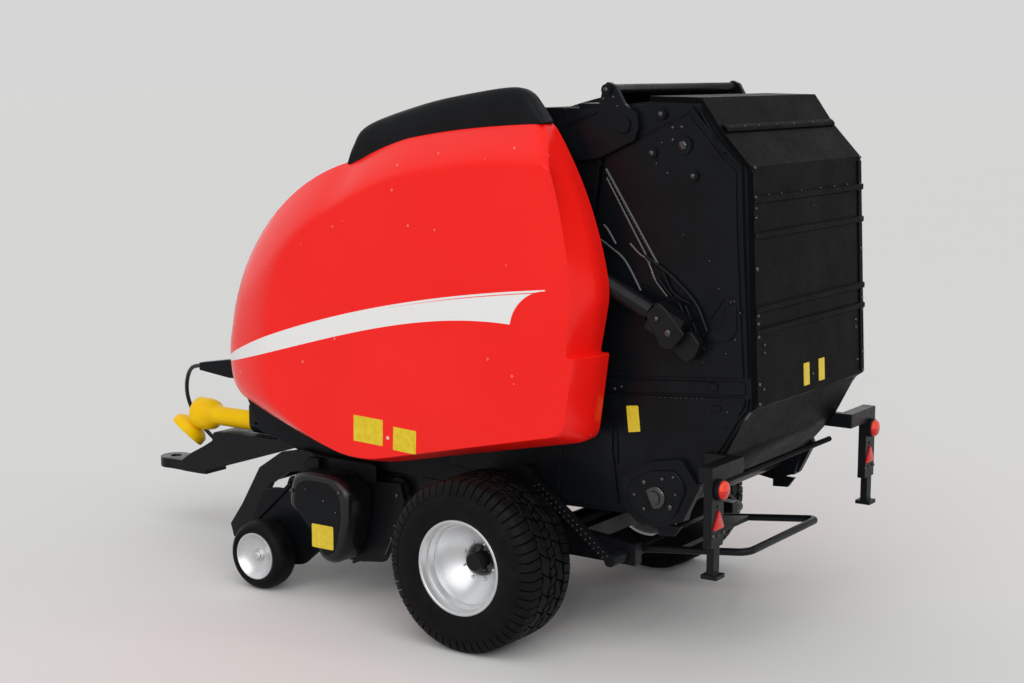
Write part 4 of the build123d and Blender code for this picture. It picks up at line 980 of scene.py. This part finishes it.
def tailgateRearPieces():
    data = tailgateRear
    near, far = data["flange"]
    plates = Shape()
    for side, _ in bothSides:
        plates.plate(rearSheet(*data["flangeZ"], -0.1, 0.22), side * near, side * far, 0.08)
    bendX, bendZ = data["bend"]
    lip = rounded([(rearX + bendX + x, bendZ + z) for x, z in data["lip"]], 0.25, 3)
    half = data["half"]
    plates.plate(lip, -half, half, 0.1)
    barX, barHalf, barZ, barRadius = data["underBar"]
    plates.bar([(rearX + barX, -barHalf, barZ), (rearX + barX, barHalf, barZ)], barRadius, 12)
    plates.make("tailgate_rear_plates", rearBlack, "tailgate", crease=35)
    studs = Shape()
    for side, _ in bothSides:
        for z, radius in data["edgeBolts"]:
            studs.bolt((onRear(z, 0.2), side * half, z), (-1, 0, 0), radius, 0.3)
    for y, z in data["innerBolts"]:
        studs.bolt((onRear(z), y, z), (-1, 0, 0), 0.26, 0.25)
    for y, z in data["specks"]:
        studs.bolt((onRear(z, 0.35 if z > data["stepZ"] else 0), y, z), (-1, 0, 0), 0.16, 0.2, 6)
    for i, y in enumerate(data["lipSpecks"]):
        studs.bolt((rearX + bendX - 0.3, y, bendZ + 0.5), (-1, 0, 0.4), 0.14 + 0.03 * (i % 3), 0.2, 6)
    studs.make("tailgate_rear_studs", glossBlack, "tailgate", crease=50)
    labels = Shape()
    for near, far in data["labels"]:
        labels.plate(rearSheet(*data["labelZ"], -0.05, 0.1), near, far, 0.03)
    labels.make("rear_labels", labelYellow, "tailgate")


# Fixed fittings: hinge ears, the sheet below the cross tube, strut beads and the strip's upper end
fixedFittings = {
    "earLines": [[(-10.9, 92.6), (-11.8, 90.2), (-12.9, 90.2)], [(-11.8, 90.4), (-17.3, 92.2)]],
    "pivot": (-22.5, 89.9), "pivotCap": [(-0.1, 1.15), (0.3, 1.15), (0.4, 1.05), (0.42, 0.85), (0.3, 0.7),
                                         (0.3, 0.2)],
    "earBolts": [(-19.2, 95.9, 0.5, 0.45), (-20.4, 94.7, 0.0, 0.26), (-18.6, 94.4, 0.0, 0.24),
                 (-21.2, 93.2, 0.0, 0.22)],
    "underTube": [(-19.8, 95.3), (-19.3, 95.7), (-16.6, 93.75), (-17.1, 93.3)], "sheetHalf": 19.9,
    "stripEnd": [([(-15.6, 86.3), (-17.45, 83.35)], 0.5, 0.3), ([(-16.9, 85.4), (-17.35, 84.75)], 0.55,
                                                                0.35)],
    "strutBeads": ((-6.0, 27.8), (-20.9, 16.55), 17, 0.42, 0.19)}


def fixedPieces(side, name):
    data = fixedFittings
    plates = Shape()
    for path in data["earLines"]:
        plates.strip(path, side * (earY - 0.1), side * (earY + 0.3), 0.4)
    for path, wide, height in data["stripEnd"]:
        plates.strip(path, side * (sideY - 0.1), side * (sideY + height + 0.1), wide)
    pivotX, pivotZ = data["pivot"]
    plates.turned((pivotX, side * earY, pivotZ), (0, side, 0), data["pivotCap"], 24)
    plates.make(f"hinge_trim_{name}", bodyBlack, "frame", crease=30)
    studs = Shape()
    for x, z, out, radius in data["earBolts"]:
        studs.bolt((x, side * (earY + out), z), (0, side, 0), radius, 0.3)
    start, end, count, offset, radius = data["strutBeads"]
    lean = offset / dist(start, end)
    asideX, asideZ = (end[1] - start[1]) * lean, -(end[0] - start[0]) * lean
    for row in (-1, 1):
        spots = [between(start, end, (i + 0.25 * row + 0.25) / count) for i in range(count)]
        beads = [(x + asideX * row, z + asideZ * row, radius) for x, z in spots]
        studs.sideBolts(beads, side, strutY, 0.25, 6)
    studs.make(f"fixed_studs_{name}", glossBlack, "frame", crease=50)


# Cylinder rod ends: a face plate with domed bolts, and the lower lug behind it
rodEnd = {
    "face": [(-29.0, 59.7), (-32.0, 54.4), (-33.9, 54.3), (-36.3, 57.0), (-33.0, 60.7), (-31.3, 61.9)],
    "lug": [(-32.9, 54.0), (-35.5, 51.9), (-37.2, 53.1), (-38.2, 55.3), (-36.6, 57.2), (-33.6, 57.2)],
    "bolts": [(-31.2, 59.2, 0.5), (-33.3, 57.0, 0.7)],
    "dome": [(0, 1), (0.2, 1), (0.4, 0.85), (0.55, 0.5), (0.6, 0.15)]}


def rodEndPieces(side, name):
    plates = Shape()
    plates.plate(rounded(rodEnd["face"], 0.5, 3), side * (blockY - 0.1), side * (blockY + 0.25), 0.15)
    plates.plate(rounded(rodEnd["lug"], 0.5, 3), side * (blockY - 3.3), side * (blockY - 1.5), 0.2)
    plates.make(f"rod_end_{name}", frameBlack, f"rod_{name}", crease=30)
    studs = Shape()
    for x, z, radius in rodEnd["bolts"]:
        studs.turned((x, side * (blockY + 0.2), z), (0, side, 0),
                     [(out, radius * share) for out, share in rodEnd["dome"]], 16)
    studs.make(f"rod_studs_{name}", glossBlack, f"rod_{name}", crease=60)


# Pickup sides: rounded housing with its face and blank label, plates and a link behind it, tabs and bolts
housingLow, housingHigh = extent("pickup_cover_left")
housingY = housingHigh.y
guardY = sideY + 1.6
pickupSide = {
    "housing": [(45.6, 23.9), (43.1, 24.8), (38.2, 24.9), (35.2, 24.8), (32.8, 23.7), (31.4, 21.5),
                (31.5, 17.2), (32.6, 13.2), (34.0, 9.2), (35.4, 7.9), (37.5, 7.8), (39.2, 8.9), (40.6, 10.9),
                (41.2, 13.3), (46.6, 17.5), (46.6, 20.0)],
    "rounding": 1.5, "edges": [(2.2, 0.0), (1.35, 0.1), (0.75, 0.38), (0.3, 0.8), (0.08, 1.2), (0.0, 1.5)],
    "face": [(44.2, 22.4), (42.0, 23.4), (36.2, 23.4), (33.6, 21.6), (33.3, 16.8), (34.8, 10.8), (36.2, 9.5),
             (37.8, 9.6), (39.4, 12.6), (44.9, 18.0)],
    "label": [(35.1, 10.8), (40.3, 10.8), (40.3, 15.3), (35.1, 15.3)],
    "bolts": [(45.2, 20.9, 0.4), (33.6, 22.0, 0.42), (37.3, 20.0, 0.3), (34.4, 18.2, 0.22),
              (41.6, 21.6, 0.22)],
    "inner": [(26.4, 20.9, 0.5), (26.9, 15.1, 0.35), (27.8, 12.6, 0.35), (48.6, 15.4, 0.4),
              (47.0, 9.4, 0.35)],
    "brace": [(29.1, 9.2), (27.4, 12.6)], "tab": ((42.6, 45.4), (24.0, 26.4)),
    "guard": [(44.0, 18.0), (47.0, 22.3), (51.4, 21.6), (52.4, 18.9), (54.6, 18.9), (57.8, 18.4),
              (60.9, 13.0), (61.2, 8.0), (60.0, 5.5), (56.0, 3.2), (48.0, 4.6), (44.0, 8.0)],
    "upper": [(30.0, 23.0), (47.4, 23.2), (48.2, 24.6), (46.0, 26.6), (30.0, 26.6)],
    "link": [(50.6, 20.4), (61.4, 10.6)]}


def pickupPieces(side, name):
    data = pickupSide
    shell = Shape()
    outline = rounded(data["housing"], data["rounding"], 4)
    rings = [[(x, side * (housingLow.y + 0.05), z) for x, z in outline]]
    for depth, drawIn in data["edges"]:
        rings.append([(x, side * (housingY - depth), z) for x, z in inset(outline, drawIn)])
    shell.loft(rings)
    piece = shell.make(f"pickup_housing_{name}", housingBlack, "pickup", crease=40)
    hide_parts(f"pickup_cover_{name}")
    plates = Shape()
    plates.plate(rounded(data["face"], 1.4, 4), side * (housingY - 0.2), side * (housingY + 0.14), 0.14)
    (lowX, highX), zRange = data["tab"]
    plates.block((lowX, highX), tuple(sorted((side * (guardY + 1.0), side * (guardY + 2.0)))), zRange)
    plates.plate(rounded(data["guard"], 0.8, 3), side * (guardY - 0.1), side * (guardY + 0.6), 0.15)
    plates.plate(rounded(data["upper"], 0.8, 3), side * (guardY - 0.1), side * (guardY + 0.5), 0.15)
    plates.strip(data["link"], side * (guardY + 0.5), side * (guardY + 1.1), 1.1)
    plates.make(f"pickup_face_{name}", bodyBlack, "pickup", crease=30)
    studs = Shape()
    studs.sideBolts(data["bolts"], side, housingY + 0.1, 0.35)
    studs.sideBolts(data["inner"], side, guardY - 1.2, 0.4)
    studs.strip(data["brace"], side * (guardY - 1.3), side * (guardY - 0.9), 0.4)
    studs.make(f"pickup_studs_{name}", glossBlack, "pickup", crease=50)
    outline = rounded(data["label"], 0.3, 2)
    label = Shape().plate(outline, side * (housingY + 0.05), side * (housingY + 0.22), 0.04)
    label.make(f"pickup_label_{name}", labelYellow, "pickup")


tailgateRearPieces()
sheetHalf = fixedFittings["sheetHalf"]
sheet = Shape().plate(fixedFittings["underTube"], -sheetHalf, sheetHalf, 0.1)
sheet.make("tube_sheet", bodyBlack, "frame")
for side, name in bothSides:
    tailgateSidePieces(side, name)
    fixedPieces(side, name)
    rodEndPieces(side, name)
    pickupPieces(side, name)
print("fittings made")

# Frame nodes that show as they are, by finish: single ones, and pairs with one on each side
keptNodes = [
    (frameBlack, ["chassis_frame", "main_axle", "chamber_roller_lower", "chamber_roller_front", "drawbar",
                  "gearbox",
                  "bale_ramp", "tailgate_roller_lower", "tailgate_roller_upper", "pickup_frame",
                  "pickup_bands",
                  "wind_guard"],
     ["cover_stays", "ramp_strut", "light_bracket", "cylinder_barrel", "cylinder_rod"]),
    (bodyBlack, ["chamber_front", "hinge_frame", "hose_holder"], ["chamber_side", "tailgate_side"]),
    (rearBlack, ["tailgate_skin"], []),
    (rodSteel, ["hose_coupling", "pickup_reel"], ["cylinder_pin"])]

# A small bevel catches the light along their edges
edgeBevel = {"width": 0.13, "segments": 2, "limit": 32}


def finishNode(name, finish):
    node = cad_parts[name]
    node.data.materials.clear()
    node.data.materials.append(finish.material)
    weld = node.modifiers.new("weld", "WELD")
    weld.merge_threshold = 0.0005 * mm
    bevel = node.modifiers.new("bevel", "BEVEL")
    bevel.width = edgeBevel["width"] * mm
    bevel.segments = edgeBevel["segments"]
    bevel.limit_method = "ANGLE"
    bevel.angle_limit = radians(edgeBevel["limit"])
    bevel.harden_normals = True


for finish, singles, pairs in keptNodes:
    for name in singles + [f"{pair}_{side}" for pair in pairs for _, side in bothSides]:
        finishNode(name, finish)
print("frame nodes finished")

# Lamps: a dark case with a ribbed lens, and a red three-cornered reflector below it
lampLow, lampHigh = extent("rear_lamp_left")
lampY = middleOf("rear_lamp_left").y
lampRadius = radiusOf("rear_lamp_left")
lamp = {
    "lens": [(0, 0.86), (0.35, 0.86), (0.62, 0.74), (0.78, 0.5), (0.84, 0.12)], "set": 0.55,
    "triangle": 2.1, "drop": 5.4, "rounding": 0.3,
    "bolts": [(-1.7, -7.3, 0.32), (1.7, -7.3, 0.36), (0.2, -7.5, 0.24), (0.0, -2.9, 0.24)]}
for side, name in bothSides:
    case = Shape()
    depth = lampHigh.x - lampLow.x
    case.turned((lampHigh.x, side * lampY, lampMiddle), (-1, 0, 0),
                [(-0.1, lampRadius * 0.9), (0.1, lampRadius), (depth - 0.6, lampRadius),
                 (depth - 0.5, lampRadius - 0.1), (depth - 0.5, 0.3)], 32)
    case.make(f"lamp_case_{name}", frameBlack, "tailgate")
    lens = Shape()
    lens.turned((lampLow.x + lamp["set"], side * lampY, lampMiddle), (-1, 0, 0),
                [(along, share * lampRadius) for along, share in lamp["lens"]], 32)
    piece = lens.make(f"lamp_lens_{name}", lampLens, "tailgate", crease=60)
    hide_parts(f"rear_lamp_{name}")
    bracketX = extent(f"light_bracket_{name}")[0].x + 0.8
    reflector = Shape()
    size = lamp["triangle"]
    corners = [(size * sin(a), size * cos(a)) for a in (0, 2 * pi / 3, 4 * pi / 3)]
    rings = []
    for x, share in ((0.05, 1), (-0.22, 1), (-0.3, 0.9)):
        outline = rounded([(y * share, z * share) for y, z in corners], lamp["rounding"])
        rings.append([(bracketX + x, side * lampY + y, lampMiddle - lamp["drop"] + z) for y, z in outline])
    reflector.loft(rings)
    reflector.make(f"reflector_{name}", lampLens, "tailgate")
    studs = Shape()
    for y, z, radius in lamp["bolts"]:
        studs.bolt((bracketX, side * lampY + y, lampMiddle + z), (-1, 0, 0), radius, 0.35)
    studs.make(f"bracket_studs_{name}", glossBlack, "tailgate", crease=50)
print("lamps made")

# Stage: a pale floor, a pale backdrop all round and soft lamps
stage = {
    "floor": 6.0, "pale": (0.785, 0.785, 0.775), "backdrop": 0.672, "ambient": 0.42,
    "suns": [("key", (0.62, 1.0, -1.05), 75, 1.45), ("fill", (-1.0, -0.5, -0.9), 90, 0.5)],
    "flash": [("flash", (-0.20, 0.315, 0.165), 0.013, 0.065),
              ("rearLamp", (-0.42, -0.10, 0.30), 0.05, 0.12)]}
half = stage["floor"]
floorMesh = bpy.data.meshes.new("floor")
corners = [(x * half, y * half, 0) for x, y in ((-1, -1), (1, -1), (1, 1), (-1, 1))]
floorMesh.from_pydata(corners, [], [(0, 1, 2, 3)])
floor = addObject("floor", floorMesh)
floorFinish = Finish("pale_floor", None, Roughness=0.9)
deeper = tuple(channel * 0.985 for channel in stage["pale"])
floorFinish.feed("Base Color", floorFinish.noise(60, 2).mix(colour(*stage["pale"]), colour(*deeper)))
floorMesh.materials.append(floorFinish.material)
world = bpy.data.worlds.new("studio")
scene.world = world
sky = Nodes(world)
seen, *others = [sky.node("ShaderNodeLightPath", {}, {}, output=ray)
                 for ray in ("Is Camera Ray", "Is Glossy Ray", "Is Transmission Ray")]
for ray in others:
    seen = seen.math("MAXIMUM", seen, ray)
background = sky.tree.nodes["Background"]
background.inputs["Color"].default_value = colour(1, 1, 1)
level = seen.remap(0, 1, stage["ambient"], stage["backdrop"])
sky.tree.links.new(level.socket, background.inputs["Strength"])
for name, shine, angle, strength in stage["suns"]:
    sunData = bpy.data.lights.new(name, "SUN")
    sunData.angle = radians(angle)
    sunData.energy = strength
    sun = addObject(name, sunData)
    sun.rotation_euler = Vector((shine[0], -shine[1], shine[2])).to_track_quat("-Z", "Y").to_euler()
for name, spot, size, power in stage["flash"]:
    lampData = bpy.data.lights.new(name, "AREA")
    lampData.shape = "DISK"
    lampData.size = size
    lampData.energy = power
    light = addObject(name, lampData)
    light.location = Vector(spot)
    light.rotation_euler = (Vector((axleX, 0, 0.05)) - light.location).to_track_quat("-Z", "Y").to_euler()
scene.view_settings.view_transform = "Standard"
print("stage set")
